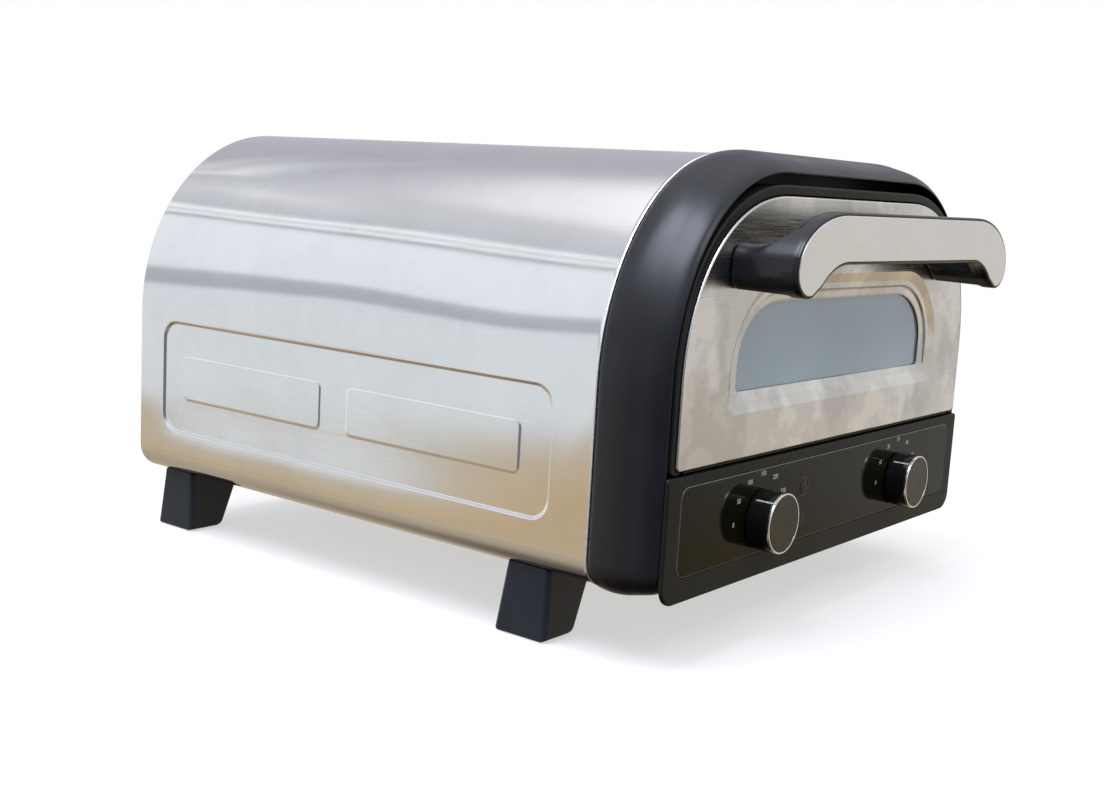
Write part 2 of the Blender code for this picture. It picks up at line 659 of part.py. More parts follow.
def make_fascia(parent, holes):
    """Front plate over the bezel's lower lip, with a box behind it that holds the controls."""
    face = rounded_box(-FASCIA_HALF, FASCIA_HALF, FASCIA_BOTTOM, FASCIA_TOP, 0.012, 0.0015)
    soft = rounded_box(-FASCIA_HALF + 0.001, FASCIA_HALF - 0.001, FASCIA_BOTTOM + 0.001,
                       FASCIA_TOP - 0.0006, 0.011, 0.0010)
    box_half = FASCIA_HALF - 0.0030
    box_low = SHELL_BOTTOM + LIP_BOTTOM + 0.0015
    outer = rounded_box(-box_half, box_half, box_low, FASCIA_TOP - 0.0005, 0.010, 0.0015)
    inner = rounded_box(-box_half + FASCIA_WALL, box_half - FASCIA_WALL, box_low + FASCIA_WALL,
                        FASCIA_TOP - 0.0005 - FASCIA_WALL, 0.008, 0.001)
    rings = [at_y(FACE_Y, soft), at_y(FACE_Y + 0.001, face), at_y(FACE_Y + 0.0025, face),
             at_y(FACE_Y + 0.0025, outer), at_y(FASCIA_REAR, outer), at_y(FASCIA_REAR, inner),
             at_y(FACE_Y + 0.0045, inner)]
    fascia = make_piece("control_fascia", loft(rings), SATIN_BLACK, parent)
    skirt_low = FASCIA_BOTTOM + 0.0002
    skirt = block((-0.188, 0.188), (FACE_Y + 0.0015, -0.0390), (skirt_low, skirt_low + 0.0018))
    combine(fascia, make_cutter("fascia_skirt", skirt, parent), "UNION")
    seat = rounded_box(-GLASS_HALF - GAP, GLASS_HALF + GAP, GLASS_BOTTOM - GAP, GLASS_TOP + GAP,
                       0.008, 0.008)
    pocket = loft([at_y(FACE_Y - 0.002, seat), at_y(FACE_Y + 0.002, seat)])
    combine(fascia, make_cutter("glass_pocket", pocket, parent))
    combine(fascia, holes)
    pane = rounded_box(-GLASS_HALF, GLASS_HALF, GLASS_BOTTOM, GLASS_TOP, 0.0077, 0.0077)
    glass = loft([at_y(FACE_Y - 0.0002, pane), at_y(FACE_Y + 0.0017, pane)])
    combine(make_piece("control_glass", glass, GLOSS_BLACK, parent), holes)


def make_lamps(parent):
    for name, height, radius in LAMPS:
        profile = [(0, -0.0496), (radius * 0.8, -0.0495), (radius, -0.0492), (radius, -0.0435),
                   (radius * 0.6, -0.0435), (radius * 0.6, -0.0415), (0, -0.0415)]
        make_piece(name, turned(profile, "Y", (LAMP_X, 0, height), 16), AMBER, parent)


def make_control_units(parent):
    """Sheet bracket behind the fascia, with the thermostat and the timer screwed to it."""
    bracket = block((-0.150, 0.150), (-0.0410, -0.0398), (0.062, 0.103))
    holes = [rod(0.0052, "Y", (side * KNOB_X, 0, KNOB_Z), -0.045, -0.038) for side in (-1, 1)]
    holes.append(block((LAMP_X - 0.009, LAMP_X + 0.009), (-0.045, -0.038), (0.064, 0.101)))
    piece = make_piece("control_bracket", bracket, ZINC, parent)
    combine(piece, make_cutter("bracket_holes", merged(holes), parent))
    for side, name, half in ((-1, "thermostat", 0.019), (1, "timer", 0.022)):
        middle = side * KNOB_X
        case = block((middle - half, middle + half), (-0.0395, -0.0120), (KNOB_Z - 0.019, KNOB_Z + 0.019))
        unit = make_piece(name, case, CERAMIC if side < 0 else ZINC, parent)
        neck = rod(0.0049, "Y", (middle, 0, KNOB_Z), -0.0440, -0.0385)
        combine(unit, make_cutter(name + "_neck", neck, parent), "UNION")
        bore = rod(SHAFT_RADIUS + GAP, "Y", (middle, 0, KNOB_Z), -0.0460, -0.0330)
        combine(unit, make_cutter(name + "_bore", bore, parent))


def make_knob(oven, side, name):
    """Knob on its own axis: moulded body, brushed cap and steel shaft."""
    axis = make_empty(name + "_axis", (side * KNOB_X, 0, KNOB_Z), oven)
    centre = (side * KNOB_X, 0, KNOB_Z)
    rear = FACE_Y - 0.0007
    cap_back = KNOB_FRONT + 0.0015
    front = cap_back + GAP
    bore = SHAFT_RADIUS + 0.0002
    body = [(0, front), (KNOB_RADIUS - 0.0003, front), (KNOB_RADIUS, front + 0.0004),
            (KNOB_RADIUS, rear - 0.0006), (KNOB_RADIUS - 0.0006, rear), (0.0165, rear),
            (0.0165, rear - 0.004), (0.0080, rear - 0.004), (0.0080, rear), (bore, rear), (bore, -0.0600),
            (0, -0.0600)]
    make_piece(name, turned(body, "Y", centre), SATIN_BLACK, axis)
    cap = [(0, KNOB_FRONT + 0.0003), (KNOB_RADIUS - 0.0012, KNOB_FRONT + 0.0003),
           (KNOB_RADIUS - 0.0009, KNOB_FRONT), (KNOB_RADIUS - 0.0003, KNOB_FRONT),
           (KNOB_RADIUS, KNOB_FRONT + 0.0004), (KNOB_RADIUS, cap_back), (0, cap_back)]
    make_piece(name + "_cap", turned(cap, "Y", centre), BRIGHT_STEEL, axis)
    make_piece(name + "_shaft", rod(SHAFT_RADIUS, "Y", centre, -0.0597, -0.0335), ZINC, axis)


# ---- door ------------------------------------------------------------------------------------
def door_arch(side, top, bottom, corner=0.004):
    return arch(side, top, bottom, corner, DOOR_POWER)


def make_door_plate(parent, screw_holes, notches):
    """Stamped sheet: turned-back edge, flat face and the stepped window surround."""
    sheet = bmesh.new()

    def edge_loop(depth, inset):
        outline = door_arch(PLATE_HALF - inset, PLATE_TOP - inset, PLATE_BOTTOM + inset)
        return [sheet.verts.new(point) for point in at_y(depth, outline)]

    edges = [edge_loop(FACE_Y + 0.0045, 0), edge_loop(FACE_Y + 0.0008, 0), edge_loop(FACE_Y, 0.0008)]
    steps = []
    for depth, share in WINDOW_STEPS:
        outline = window(share)
        steps.append([sheet.verts.new(point) for point in at_y(FACE_Y + WINDOW_DEPTH * depth, outline)])
    for outer, inner in zip(edges, edges[1:]):
        step_between(sheet, outer, inner)
    fill_between(sheet, [edges[-1], steps[0]])
    for outer, inner in zip(steps, steps[1:]):
        step_between(sheet, outer, inner)
    bmesh.ops.recalc_face_normals(sheet, faces=sheet.faces)
    front = min(sheet.faces, key=lambda face: face.calc_center_median().y - 10 * face.calc_area())
    if front.normal.y > 0:
        bmesh.ops.reverse_faces(sheet, faces=sheet.faces)
    plate = make_piece("door_plate", sheet, DOOR_STEEL, parent)
    thick = plate.modifiers.new("thickness", "SOLIDIFY")
    thick.thickness = PLATE_SHEET
    thick.offset = -1
    thick.use_even_offset = True
    combine(plate, screw_holes)
    combine(plate, notches)


def make_door_frame(parent, notches):
    rings = []
    for depth, inset, lower_inset in DOOR_SECTION:
        outline = door_arch(DOOR_HALF - inset, DOOR_TOP - inset * 1.5, DOOR_BOTTOM + lower_inset)
        rings.append(at_y(depth, outline))
    frame = make_piece("door_frame", loft(rings, closed=True), SATIN_BLACK, parent)
    combine(frame, notches)


def hinge_notches(parent):
    """Clear the hinge arms' way through the door's lower edge as the door swings."""
    notches = []
    half = ARM_WIDTH / 2 + 0.0008
    for middle in (-ARM_X, ARM_X):
        notches.append(block((middle - half, middle + half), (-0.0477, -0.0150), (0.1160, 0.1285)))
    return make_cutter("hinge_notches", merged(notches), parent)


def make_door_inner(parent, notches):
    """Inner tray, the two window panes and the seal."""
    back = -0.0193
    rings = []
    for depth, inset in ((back, 0.0030), (back - 0.0016, 0.0030)):
        rings.append(at_y(depth, door_arch(DOOR_HALF - inset, DOOR_TOP - inset * 1.5, DOOR_BOTTOM + 0.003)))
    panel = make_piece("door_inner_panel", loft(rings), ZINC, parent)
    opening = loft([at_y(-0.030, window(0.85)), at_y(-0.010, window(0.85))])
    combine(panel, make_cutter("inner_window_opening", opening, parent))
    combine(panel, notches)
    half, low, high = PANE
    pane = rounded_box(-half, half, low, high, 0.004, 0.030)
    pane_y = FACE_Y + WINDOW_DEPTH + PLATE_SHEET + 0.0004
    for name, depth in (("window_glass", pane_y), ("inner_window_glass", INNER_PANE_Y)):
        make_piece(name, loft([at_y(depth, pane), at_y(depth + PANE_SHEET, pane)]), GLASS, parent)
    rings = []
    for step in range(8):
        angle = 2 * pi * step / 8
        across = 0.0022 * cos(angle)
        outline = arch(0.1800 + across, 0.2740 + across, 0.1320 - across, 0.010)
        rings.append(at_y(-0.0168 + 0.0021 * sin(angle), outline))
    make_piece("door_seal", loft(rings, closed=True), RUBBER, parent)


def make_hinges(oven, door):
    """A rod through the door's lower edge turns in the eyes of two fixed arms."""
    pin = rod(ROD_RADIUS, "X", (0, PIVOT_Y, PIVOT_Z), -ROD_HALF, ROD_HALF, 12)
    make_piece("hinge_rod", pin, BRIGHT_STEEL, door)
    eye = 0.0027
    root = FRAME_FRONT - GAP
    outline = arc((PIVOT_Y, PIVOT_Z), (eye, eye), 90, 270, 8)
    outline += [(root, PIVOT_Z - eye), (root, PIVOT_Z + eye)]
    eyes = rod(ROD_RADIUS + 0.0002, "X", (0, PIVOT_Y, PIVOT_Z), -HALF_WIDTH, HALF_WIDTH, 12)
    hole = make_cutter("hinge_eyes", eyes, oven)
    for side, name in ((-1, "left"), (1, "right")):
        low, high = side * ARM_X - ARM_WIDTH / 2, side * ARM_X + ARM_WIDTH / 2
        arm = make_piece("hinge_arm_" + name, loft([at_x(low, outline), at_x(high, outline)]), ZINC, oven)
        tab = block((side * ARM_X - 0.007, side * ARM_X + 0.007), (root - 0.0015, root),
                    (PIVOT_Z - eye + 0.0002, PIVOT_Z + eye - 0.0002))
        combine(arm, make_cutter("hinge_tab_" + name, tab, oven), "UNION")
        combine(arm, hole)


# ---- handle ----------------------------------------------------------------------------------
def handle_bores(parent):
    bores = []
    for side in (-1, 1):
        bores.append(rod(0.0024, "Y", (side * HANDLE_SCREW_X, 0, HANDLE_SCREW_Z), -0.0640, -0.0440))
    return make_cutter("handle_bores", merged(bores), parent)


def make_handle(parent, bores):
    plate_back = HANDLE_FRONT + HANDLE_SHEET
    outline = handle_outline(0)
    soft = handle_outline(-0.0005)
    rings = [at_y(HANDLE_FRONT, soft), at_y(HANDLE_FRONT + 0.0005, outline), at_y(plate_back, outline)]
    make_piece("handle_plate", loft(rings), DOOR_STEEL, parent)
    rings = [(plate_back + GAP, 0.0006), (plate_back + 0.0018, 0.0016), (HANDLE_BAR_BACK - 0.003, 0.0016),
             (HANDLE_BAR_BACK, -0.0010)]
    bar = loft([at_y(depth, handle_outline(grow)) for depth, grow in rings])
    handle = make_piece("handle_body", bar, SATIN_BLACK, parent)
    for side in (-1, 1):
        rings = []
        for step in range(7):
            share = step / 6
            depth = HANDLE_BAR_BACK - 0.004 + (FACE_Y - GAP - HANDLE_BAR_BACK + 0.004) * share
            sag = 0.010 * sin(pi * min(share * 1.25, 1))
            inner = 0.1235 - 0.002 * share
            outer = 0.1556 + 0.0044 * share
            shape = rounded_box(inner, outer, 0.2235, 0.2555 - sag - 0.004 * share, 0.006, 0.009, 4)
            rings.append([(side * across, depth, up) for across, up in shape])
        arm = make_cutter("handle_arm", loft(rings), parent)
        combine(handle, arm, "UNION")
    combine(handle, bores)
    for side, name in ((-1, "left"), (1, "right")):
        centre = (side * HANDLE_SCREW_X, 0, HANDLE_SCREW_Z)
        head = FACE_Y + 0.0010 + GAP
        profile = [(0, -0.0620), (0.0020, -0.0615), (0.0020, head), (0.0042, head), (0.0040, head + 0.0018),
                   (0.0020, head + 0.0026), (0, head + 0.0026)]
        make_piece("handle_screw_" + name, turned(profile, "Y", centre, SMALL_STEPS), ZINC, parent)


# ---- feet and fasteners ----------------------------------------------------------------------
def foot_spots():
    """Name, side and reference point of each foot."""
    for side, side_name in ((-1, "left"), (1, "right")):
        for place, (outer, front) in (("front", FRONT_FOOT), ("rear", REAR_FOOT)):
            yield place + "_" + side_name, side, outer, front


def foot_section(outer, shrink):
    """Front view of a foot: upright outside, leaning inside, fitted to the shell's lower corner."""
    rise = FOOT_TOP - FOOT_BOTTOM
    centre_x = HALF_WIDTH - SHELL_CORNER
    radius = SHELL_CORNER + GAP
    reach = outer - centre_x
    points = [(outer - 0.0010 - shrink, FOOT_BOTTOM + shrink)]
    for step in range(4):
        across = reach * (3 - step) / 3
        up = SHELL_BOTTOM + SHELL_CORNER - (radius ** 2 - across ** 2) ** 0.5
        points.append((centre_x + across - shrink, up - shrink))
    points.append((outer - FOOT_TOP_WIDTH + shrink, FOOT_TOP - shrink))
    points.append((outer - FOOT_LOW_WIDTH + shrink, FOOT_BOTTOM + 0.14 * rise))
    points += arc((outer - 0.0260, FOOT_BOTTOM + 0.006), (0.0066 - shrink, 0.006 - shrink), 200, 270, 3)
    return points


def make_feet(oven):
    holes = []
    for name, side, outer, front in foot_spots():
        screw_x, screw_y = side * (outer - FOOT_SCREW_INSET), front + 0.018
        holes.append(rod(0.0026, "Z", (screw_x, screw_y, 0), 0.0200, 0.0600))
    screw_holes = make_cutter("foot_screw_holes", merged(holes), oven)
    for name, side, outer, front in foot_spots():
        rings = []
        for share, shrink in ((0.00, FOOT_EDGE), (0.05, 0.0), (0.95, 0.0), (1.00, FOOT_EDGE)):
            ring = []
            for across, up in foot_section(outer, shrink):
                lean = 1 - (up - FOOT_BOTTOM) / (FOOT_TOP - FOOT_BOTTOM)
                length = FOOT_LENGTH + FOOT_SPREAD * lean
                ring.append((side * across, front + 0.001 * lean + length * share, up))
            rings.append(ring)
        foot = make_piece("foot_" + name, loft(rings), FOOT_BLACK, oven)
        screw_x, screw_y = side * (outer - FOOT_SCREW_INSET), front + 0.018
        bore = rod(0.0056, "Z", (screw_x, screw_y, 0), -0.002, 0.0240)
        combine(foot, make_cutter("counterbore_" + name, bore, oven))
        combine(foot, screw_holes)
        pad_x = side * (outer - 0.0130)
        left, right = pad_x - PAD_HALF_WIDTH, pad_x + PAD_HALF_WIDTH
        near, far = front + PAD_LENGTH[0], front + PAD_LENGTH[1]
        seat = block((left - GAP, right + GAP), (near - GAP, far + GAP), (-0.001, PAD_HEIGHT + GAP))
        combine(foot, make_cutter("pad_seat_" + name, seat, oven))
        make_piece("foot_pad_" + name, block((left, right), (near, far), (0, PAD_HEIGHT)), RUBBER, oven)
        profile = [(0, 0.0200), (0.0046, 0.0204), (0.0048, 0.0237), (0.0021, 0.0237), (0.0021, 0.0505),
                   (0, 0.0520)]
        make_piece("foot_screw_" + name, turned(profile, "Z", (screw_x, screw_y, 0), 12), ZINC, oven)
    return screw_holes


def rear_holes(parent):
    holes = [rod(0.0022, "Y", (across, 0, up), 0.410, 0.440, 12) for name, across, up in REAR_SCREWS]
    holes.append(rod(0.0088, "Y", (GLAND_X, 0, GLAND_Z), 0.410, 0.440, 16))
    return make_cutter("rear_holes", merged(holes), parent)


def make_rear_fittings(parent):
    face = SHELL_DEPTH + GAP
    for name, across, up in REAR_SCREWS:
        profile = [(0, 0.4180), (0.0018, 0.4190), (0.0018, face), (0.0036, face), (0.0034, face + 0.0014),
                   (0.0018, face + 0.0021), (0, face + 0.0021)]
        make_piece("rear_screw_" + name, turned(profile, "Y", (across, 0, up), 12), ZINC, parent)
    panel_back = SHELL_DEPTH - SHEET - GAP
    profile = [(GLAND_BORE, 0.4180), (0.0085, 0.4180), (0.0085, panel_back + GAP),
               (0.0120, panel_back + GAP), (0.0120, panel_back + 0.0025), (0.0090, 0.4345),
               (GLAND_BORE, 0.4345)]
    gland = turned(profile, "Y", (GLAND_X, 0, GLAND_Z), 16, closed=True)
    make_piece("cable_gland", gland, SATIN_BLACK, parent)


def build():
    clear_scene()
    oven = make_empty("oven", (0, SEAM_Y, 0))
    door = make_empty("door_hinge_axis", (0, PIVOT_Y, PIVOT_Z), oven)
    foot_holes = make_feet(oven)
    back_holes = rear_holes(oven)
    slots = vent_slots(oven)
    make_outer_shell(oven, [foot_holes, back_holes])
    make_base_plate(oven, [foot_holes, slots])
    make_rear_panel(oven, [back_holes, slots])
    make_rear_fittings(oven)
    make_front_bezel(oven)
    make_front_frame(oven)
    holes = pipe_holes(oven)
    make_cavity_liner(oven, holes)
    make_insulation(oven, terminal_pockets(oven))
    make_elements(oven, holes)
    make_hanger(oven)
    make_stone(oven)
    make_sensor(oven)
    make_fascia(oven, control_holes(oven))
    make_lamps(oven)
    make_control_units(oven)
    make_knob(oven, -1, "thermostat_knob")
    make_knob(oven, 1, "timer_knob")
    bores = handle_bores(door)
    notches = hinge_notches(door)
    make_door_plate(door, bores, notches)
    make_door_frame(door, notches)
    make_door_inner(door, notches)
    make_hinges(oven, door)
    make_handle(door, bores)


build()
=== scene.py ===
"""Looks of the countertop pizza oven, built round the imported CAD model.

Everything is in metres in the CAD's own frame: +Z up, the front of the oven towards -Y.
"""

from math import cos, pi, radians, sin

import bmesh
import bpy
from mathutils import Matrix, Vector


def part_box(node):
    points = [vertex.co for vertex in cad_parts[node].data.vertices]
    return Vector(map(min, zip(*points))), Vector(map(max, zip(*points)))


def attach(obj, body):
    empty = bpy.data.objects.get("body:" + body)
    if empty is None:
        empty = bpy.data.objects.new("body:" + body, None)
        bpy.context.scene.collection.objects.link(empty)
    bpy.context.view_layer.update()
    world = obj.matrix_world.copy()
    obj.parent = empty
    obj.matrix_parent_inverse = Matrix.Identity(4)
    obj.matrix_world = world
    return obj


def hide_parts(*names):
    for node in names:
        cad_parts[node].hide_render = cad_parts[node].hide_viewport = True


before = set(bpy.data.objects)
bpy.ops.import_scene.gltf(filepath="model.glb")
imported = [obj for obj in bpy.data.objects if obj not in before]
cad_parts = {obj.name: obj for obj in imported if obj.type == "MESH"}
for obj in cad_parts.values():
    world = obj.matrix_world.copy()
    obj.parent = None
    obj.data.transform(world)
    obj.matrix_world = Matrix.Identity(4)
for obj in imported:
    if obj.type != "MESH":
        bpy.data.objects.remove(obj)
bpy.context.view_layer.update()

# ---- places and sizes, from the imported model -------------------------
shell_low, shell_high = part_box("outer_shell")
plate_low, plate_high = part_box("door_plate")
door_low, door_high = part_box("door_frame")
fascia_low, fascia_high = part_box("control_fascia")
panel_low, panel_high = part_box("control_glass")
handle_low, handle_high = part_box("handle_plate")
liner_low, liner_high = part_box("cavity_liner")

HALF_WIDTH = shell_high.x
SEAM_Y = shell_low.y
REAR_Y = shell_high.y
SHELL_BOTTOM = shell_low.z
SHELL_TOP = shell_high.z
SHEET = 0.0012
SHELL_CORNER = 0.019
SHELL_RETURN_X = 0.158
REAR_FLANGE = 0.009
SHOULDER_X = 0.088          # centre of the big upper corner curves
SHOULDER_Z = 0.166
GAP = 0.0003
CORNER_STEPS = 8
FACE_Y = plate_low.y
FEET = ("front_left", "front_right", "rear_left", "rear_right")
REAR_SCREWS = ((-0.2045, 0.100), (0.2045, 0.100), (-0.0700, 0.2970), (0.0700, 0.2970))


def middle_of(name):
    """Middle of a CAD node's box, as x, y, z."""
    low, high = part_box(name)
    return [(near + far) / 2 for near, far in zip(low, high)]


# ---- camera: the photograph's own viewpoint --------------------------
CAMERA_PLACE = (-0.8460, -0.6326, 0.2766)
CAMERA_FORWARD = Vector((0.78323, 0.60281, -0.15221))
CAMERA_UP = Vector((0.08476, 0.13901, 0.98666))
CAMERA_LENS = 44.87


def make_camera():
    data = bpy.data.cameras.new("camera")
    data.lens = CAMERA_LENS
    data.clip_start = 0.02
    camera = bpy.data.objects.new("camera", data)
    back = -CAMERA_FORWARD.normalized()
    right = CAMERA_UP.cross(back).normalized()
    turn = Matrix((right, back.cross(right), back)).transposed()
    camera.matrix_world = Matrix.Translation(CAMERA_PLACE) @ turn.to_4x4()
    bpy.context.scene.collection.objects.link(camera)
    bpy.context.scene.camera = camera


# ---- outlines, as lists of (across, up) points -----------------------
def arc(centre, radii, start, end, steps, power=2.0):
    points = []
    for step in range(steps + 1):
        angle = radians(start + (end - start) * step / steps)
        across = abs(cos(angle)) ** (2 / power) * (1 if cos(angle) > 0 else -1)
        up = abs(sin(angle)) ** (2 / power) * (1 if sin(angle) > 0 else -1)
        points.append((centre[0] + radii[0] * across, centre[1] + radii[1] * up))
    return points


def mirrored(half):
    return half + [(-across, up) for across, up in reversed(half)]


def arch(side, top, bottom, corner, power=2.0, corner_steps=CORNER_STEPS, shoulder_steps=36):
    """Flat bottom, straight sides, curved shoulders, flat top."""
    half = arc((side - corner, bottom + corner), (corner, corner), -90, 0, corner_steps)
    half += arc((SHOULDER_X, SHOULDER_Z), (side - SHOULDER_X, top - SHOULDER_Z), 0, 90, shoulder_steps, power)
    return mirrored(half)


def rounded_box(left, right, low, high, low_radius, high_radius, steps=6):
    points = arc((right - low_radius, low + low_radius), (low_radius, low_radius), -90, 0, steps)
    points += arc((right - high_radius, high - high_radius), (high_radius, high_radius), 0, 90, steps)
    points += arc((left + high_radius, high - high_radius), (high_radius, high_radius), 90, 180, steps)
    points += arc((left + low_radius, low + low_radius), (low_radius, low_radius), 180, 270, steps)
    return points


def smooth_through(points, samples):
    """Catmull-Rom curve through (a, b) points."""
    last = len(points) - 1
    curve = []
    for index in range(last):
        spots = [min(max(index + offset, 0), last) for offset in (-1, 0, 1, 2)]
        before, start, end, after = [Vector(points[spot]) for spot in spots]
        for step in range(samples):
            t = step / samples
            bend = 2 * start + (end - before) * t
            bend += (2 * before - 5 * start + 4 * end - after) * t * t
            bend += (3 * start - before - 3 * end + after) * t ** 3
            curve.append(tuple(bend / 2))
    curve.append(tuple(points[-1]))
    return curve


# ---- solids ----------------------------------------------------------
def at_y(depth, outline):
    return [(across, depth, up) for across, up in outline]


def loft(rings, closed=False):
    """Skin rings of points; closed joins the last to the first, else both ends are capped."""
    solid = bmesh.new()
    loops = [[solid.verts.new(point) for point in ring] for ring in rings]
    following = loops[1:] + loops[:1] if closed else loops[1:]
    for near, far in zip(loops, following):
        for index in range(len(near)):
            after = (index + 1) % len(near)
            solid.faces.new((near[index], near[after], far[after], far[index]))
    if not closed:
        solid.faces.new(loops[0])
        solid.faces.new(loops[-1])
    bmesh.ops.recalc_face_normals(solid, faces=solid.faces)
    return solid


def block(low, high):
    outline = [(low[0], low[2]), (high[0], low[2]), (high[0], high[2]), (low[0], high[2])]
    return loft([at_y(low[1], outline), at_y(high[1], outline)])


def turned(profile, axis, centre, steps=96, closed=False):
    """Turn (radius, height) points about an axis through centre."""
    solid = bmesh.new()
    columns = []
    for radius, height in profile:
        column = []
        for step in range(steps if radius > 0 else 1):
            angle = 2 * pi * step / steps
            first, second = radius * cos(angle), radius * sin(angle)
            spot = {"X": (height, first, second), "Y": (first, height, second), "Z": (first, second, height)}
            column.append(solid.verts.new(Vector(spot[axis]) + Vector(centre)))
        columns.append(column)
    following = columns[1:] + columns[:1] if closed else columns[1:]
    for near, far in zip(columns, following):
        for step in range(steps):
            after = (step + 1) % steps
            corners = [near[step % len(near)], near[after % len(near)]]
            corners += [far[after % len(far)], far[step % len(far)]]
            unique = [corner for index, corner in enumerate(corners) if corner not in corners[:index]]
            solid.faces.new(unique)
    bmesh.ops.recalc_face_normals(solid, faces=solid.faces)
    return solid


def rod(radius, axis, centre, low, high, steps=48):
    return turned([(0, low), (radius, low), (radius, high), (0, high)], axis, centre, steps)


def ring(inner, outer, low, high, axis, centre, steps=96):
    profile = [(inner, low), (outer, low), (outer, high), (inner, high)]
    return turned(profile, axis, centre, steps, closed=True)


def fillet(radius, steps=5):
    """(depth, inset) pairs round a quarter circle, from the side to the face."""
    pairs = []
    for step in range(steps + 1):
        angle = (pi / 2) * step / steps
        pairs.append((radius * (1 - sin(angle)), radius * (1 - cos(angle))))
    return pairs


def tube(points, radius, steps=20):
    """Round tube along a route that lies in one level plane."""
    rings = []
    for index, point in enumerate(points):
        before = points[max(index - 1, 0)]
        after = points[min(index + 1, len(points) - 1)]
        ahead = (after - before).normalized()
        side = ahead.cross(Vector((0, 0, 1)))
        loop = []
        for step in range(steps):
            angle = 2 * pi * step / steps
            loop.append(point + side * radius * cos(angle) + Vector((0, 0, radius * sin(angle))))
        rings.append(loop)
    return loft(rings)


def rounded_path(corners, radius, steps=12):
    points = [Vector(corners[0])]
    for before, corner, after in zip(corners, corners[1:], corners[2:]):
        corner = Vector(corner)
        back = (Vector(before) - corner).normalized() * radius
        ahead = (Vector(after) - corner).normalized() * radius
        centre = corner + back + ahead
        for step in range(steps + 1):
            angle = (pi / 2) * step / steps
            points.append(centre - ahead * cos(angle) - back * sin(angle))
    points.append(Vector(corners[-1]))
    return points


def join(solids):
    """Put several bmeshes into one."""
    whole = bmesh.new()
    for solid in solids:
        mesh = bpy.data.meshes.new("part")
        solid.to_mesh(mesh)
        solid.free()
        whole.from_mesh(mesh)
        bpy.data.meshes.remove(mesh)
    return whole


def fill_between(sheet, loops):
    edges = []
    for loop in loops:
        for near, far in zip(loop, loop[1:] + loop[:1]):
            edges.append(sheet.edges.get((near, far)) or sheet.edges.new((near, far)))
    bmesh.ops.triangle_fill(sheet, edges=edges, use_beauty=True)


def step_between(sheet, outer, inner):
    for index in range(len(outer)):
        after = (index + 1) % len(outer)
        sheet.faces.new((outer[index], outer[after], inner[after], inner[index]))


def face_towards(sheet, direction):
    """Flip a sheet whose largest face looks away from direction."""
    bmesh.ops.recalc_face_normals(sheet, faces=sheet.faces)
    widest = max(sheet.faces, key=lambda face: face.calc_area() * abs(face.normal.dot(Vector(direction))))
    if widest.normal.dot(Vector(direction)) < 0:
        bmesh.ops.reverse_faces(sheet, faces=sheet.faces)


# ---- pieces ----------------------------------------------------------
def new_object(name, solid):
    mesh = bpy.data.meshes.new(name)
    solid.to_mesh(mesh)
    solid.free()
    item = bpy.data.objects.new(name, mesh)
    bpy.context.scene.collection.objects.link(item)
    return item


def bake(item):
    """Make the modifiers' result the object's own mesh."""
    mesh = bpy.data.meshes.new_from_object(item.evaluated_get(bpy.context.evaluated_depsgraph_get()))
    item.modifiers.clear()
    item.data = mesh


def combine(item, solids, operation="DIFFERENCE"):
    """Boolean with throwaway shapes."""
    tools = [new_object("tool", solid) for solid in solids]
    for tool in tools:
        step = item.modifiers.new("boolean", "BOOLEAN")
        step.operation = operation
        step.solver = "EXACT"
        step.object = tool
    bake(item)
    for tool in tools:
        bpy.data.objects.remove(tool)


def thicken(item, thickness):
    step = item.modifiers.new("thickness", "SOLIDIFY")
    step.thickness = thickness
    step.offset = -1
    step.use_even_offset = True
    bake(item)


def soften(item, voxel, rounds):
    """Blend the joined shapes of one moulding into each other."""
    step = item.modifiers.new("skin", "REMESH")
    step.mode = "VOXEL"
    step.voxel_size = voxel
    step = item.modifiers.new("smooth", "SMOOTH")
    step.factor = 0.5
    step.iterations = rounds
    bake(item)


def finish_piece(item, finish, body, replaces=(), bevel=0.0, sharp=35):
    """Shade, edge and paint an object, ride it on its body and let it stand for CAD nodes."""
    item.data.materials.clear()
    item.data.materials.append(paint[finish])
    item.data.shade_smooth()
    if bevel:
        step = item.modifiers.new("edges", "BEVEL")
        step.width = bevel
        step.segments = 3
        step.limit_method = "ANGLE"
        step.angle_limit = radians(sharp)
        step.use_clamp_overlap = True
    else:
        item.data.set_sharp_from_angle(angle=radians(sharp))
    weight = item.modifiers.new("normals", "WEIGHTED_NORMAL")
    weight.keep_sharp = True
    if replaces:
        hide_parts(*replaces)
    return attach(item, body)


def make_piece(name, solid, finish, body, replaces=(), bevel=0.0, sharp=35, cuts=(), thickness=0.0):
    item = new_object(name, solid)
    if thickness:
        thicken(item, thickness)
    if cuts:
        combine(item, cuts)
    return finish_piece(item, finish, body, replaces, bevel, sharp)


# ---- materials -------------------------------------------------------
class NodeGraph:
    """Adds shader nodes. An input takes a number, a vector, a colour or another node's output."""

    def add(self, kind, output, inputs, **settings):
        node = self.nodes.new("ShaderNode" + kind)
        for setting, choice in settings.items():
            setattr(node, setting, choice)
        for socket, value in inputs.items():
            if isinstance(value, bpy.types.NodeSocket):
                self.links.new(value, node.inputs[socket])
            else:
                node.inputs[socket].default_value = value
        return node.outputs[output]


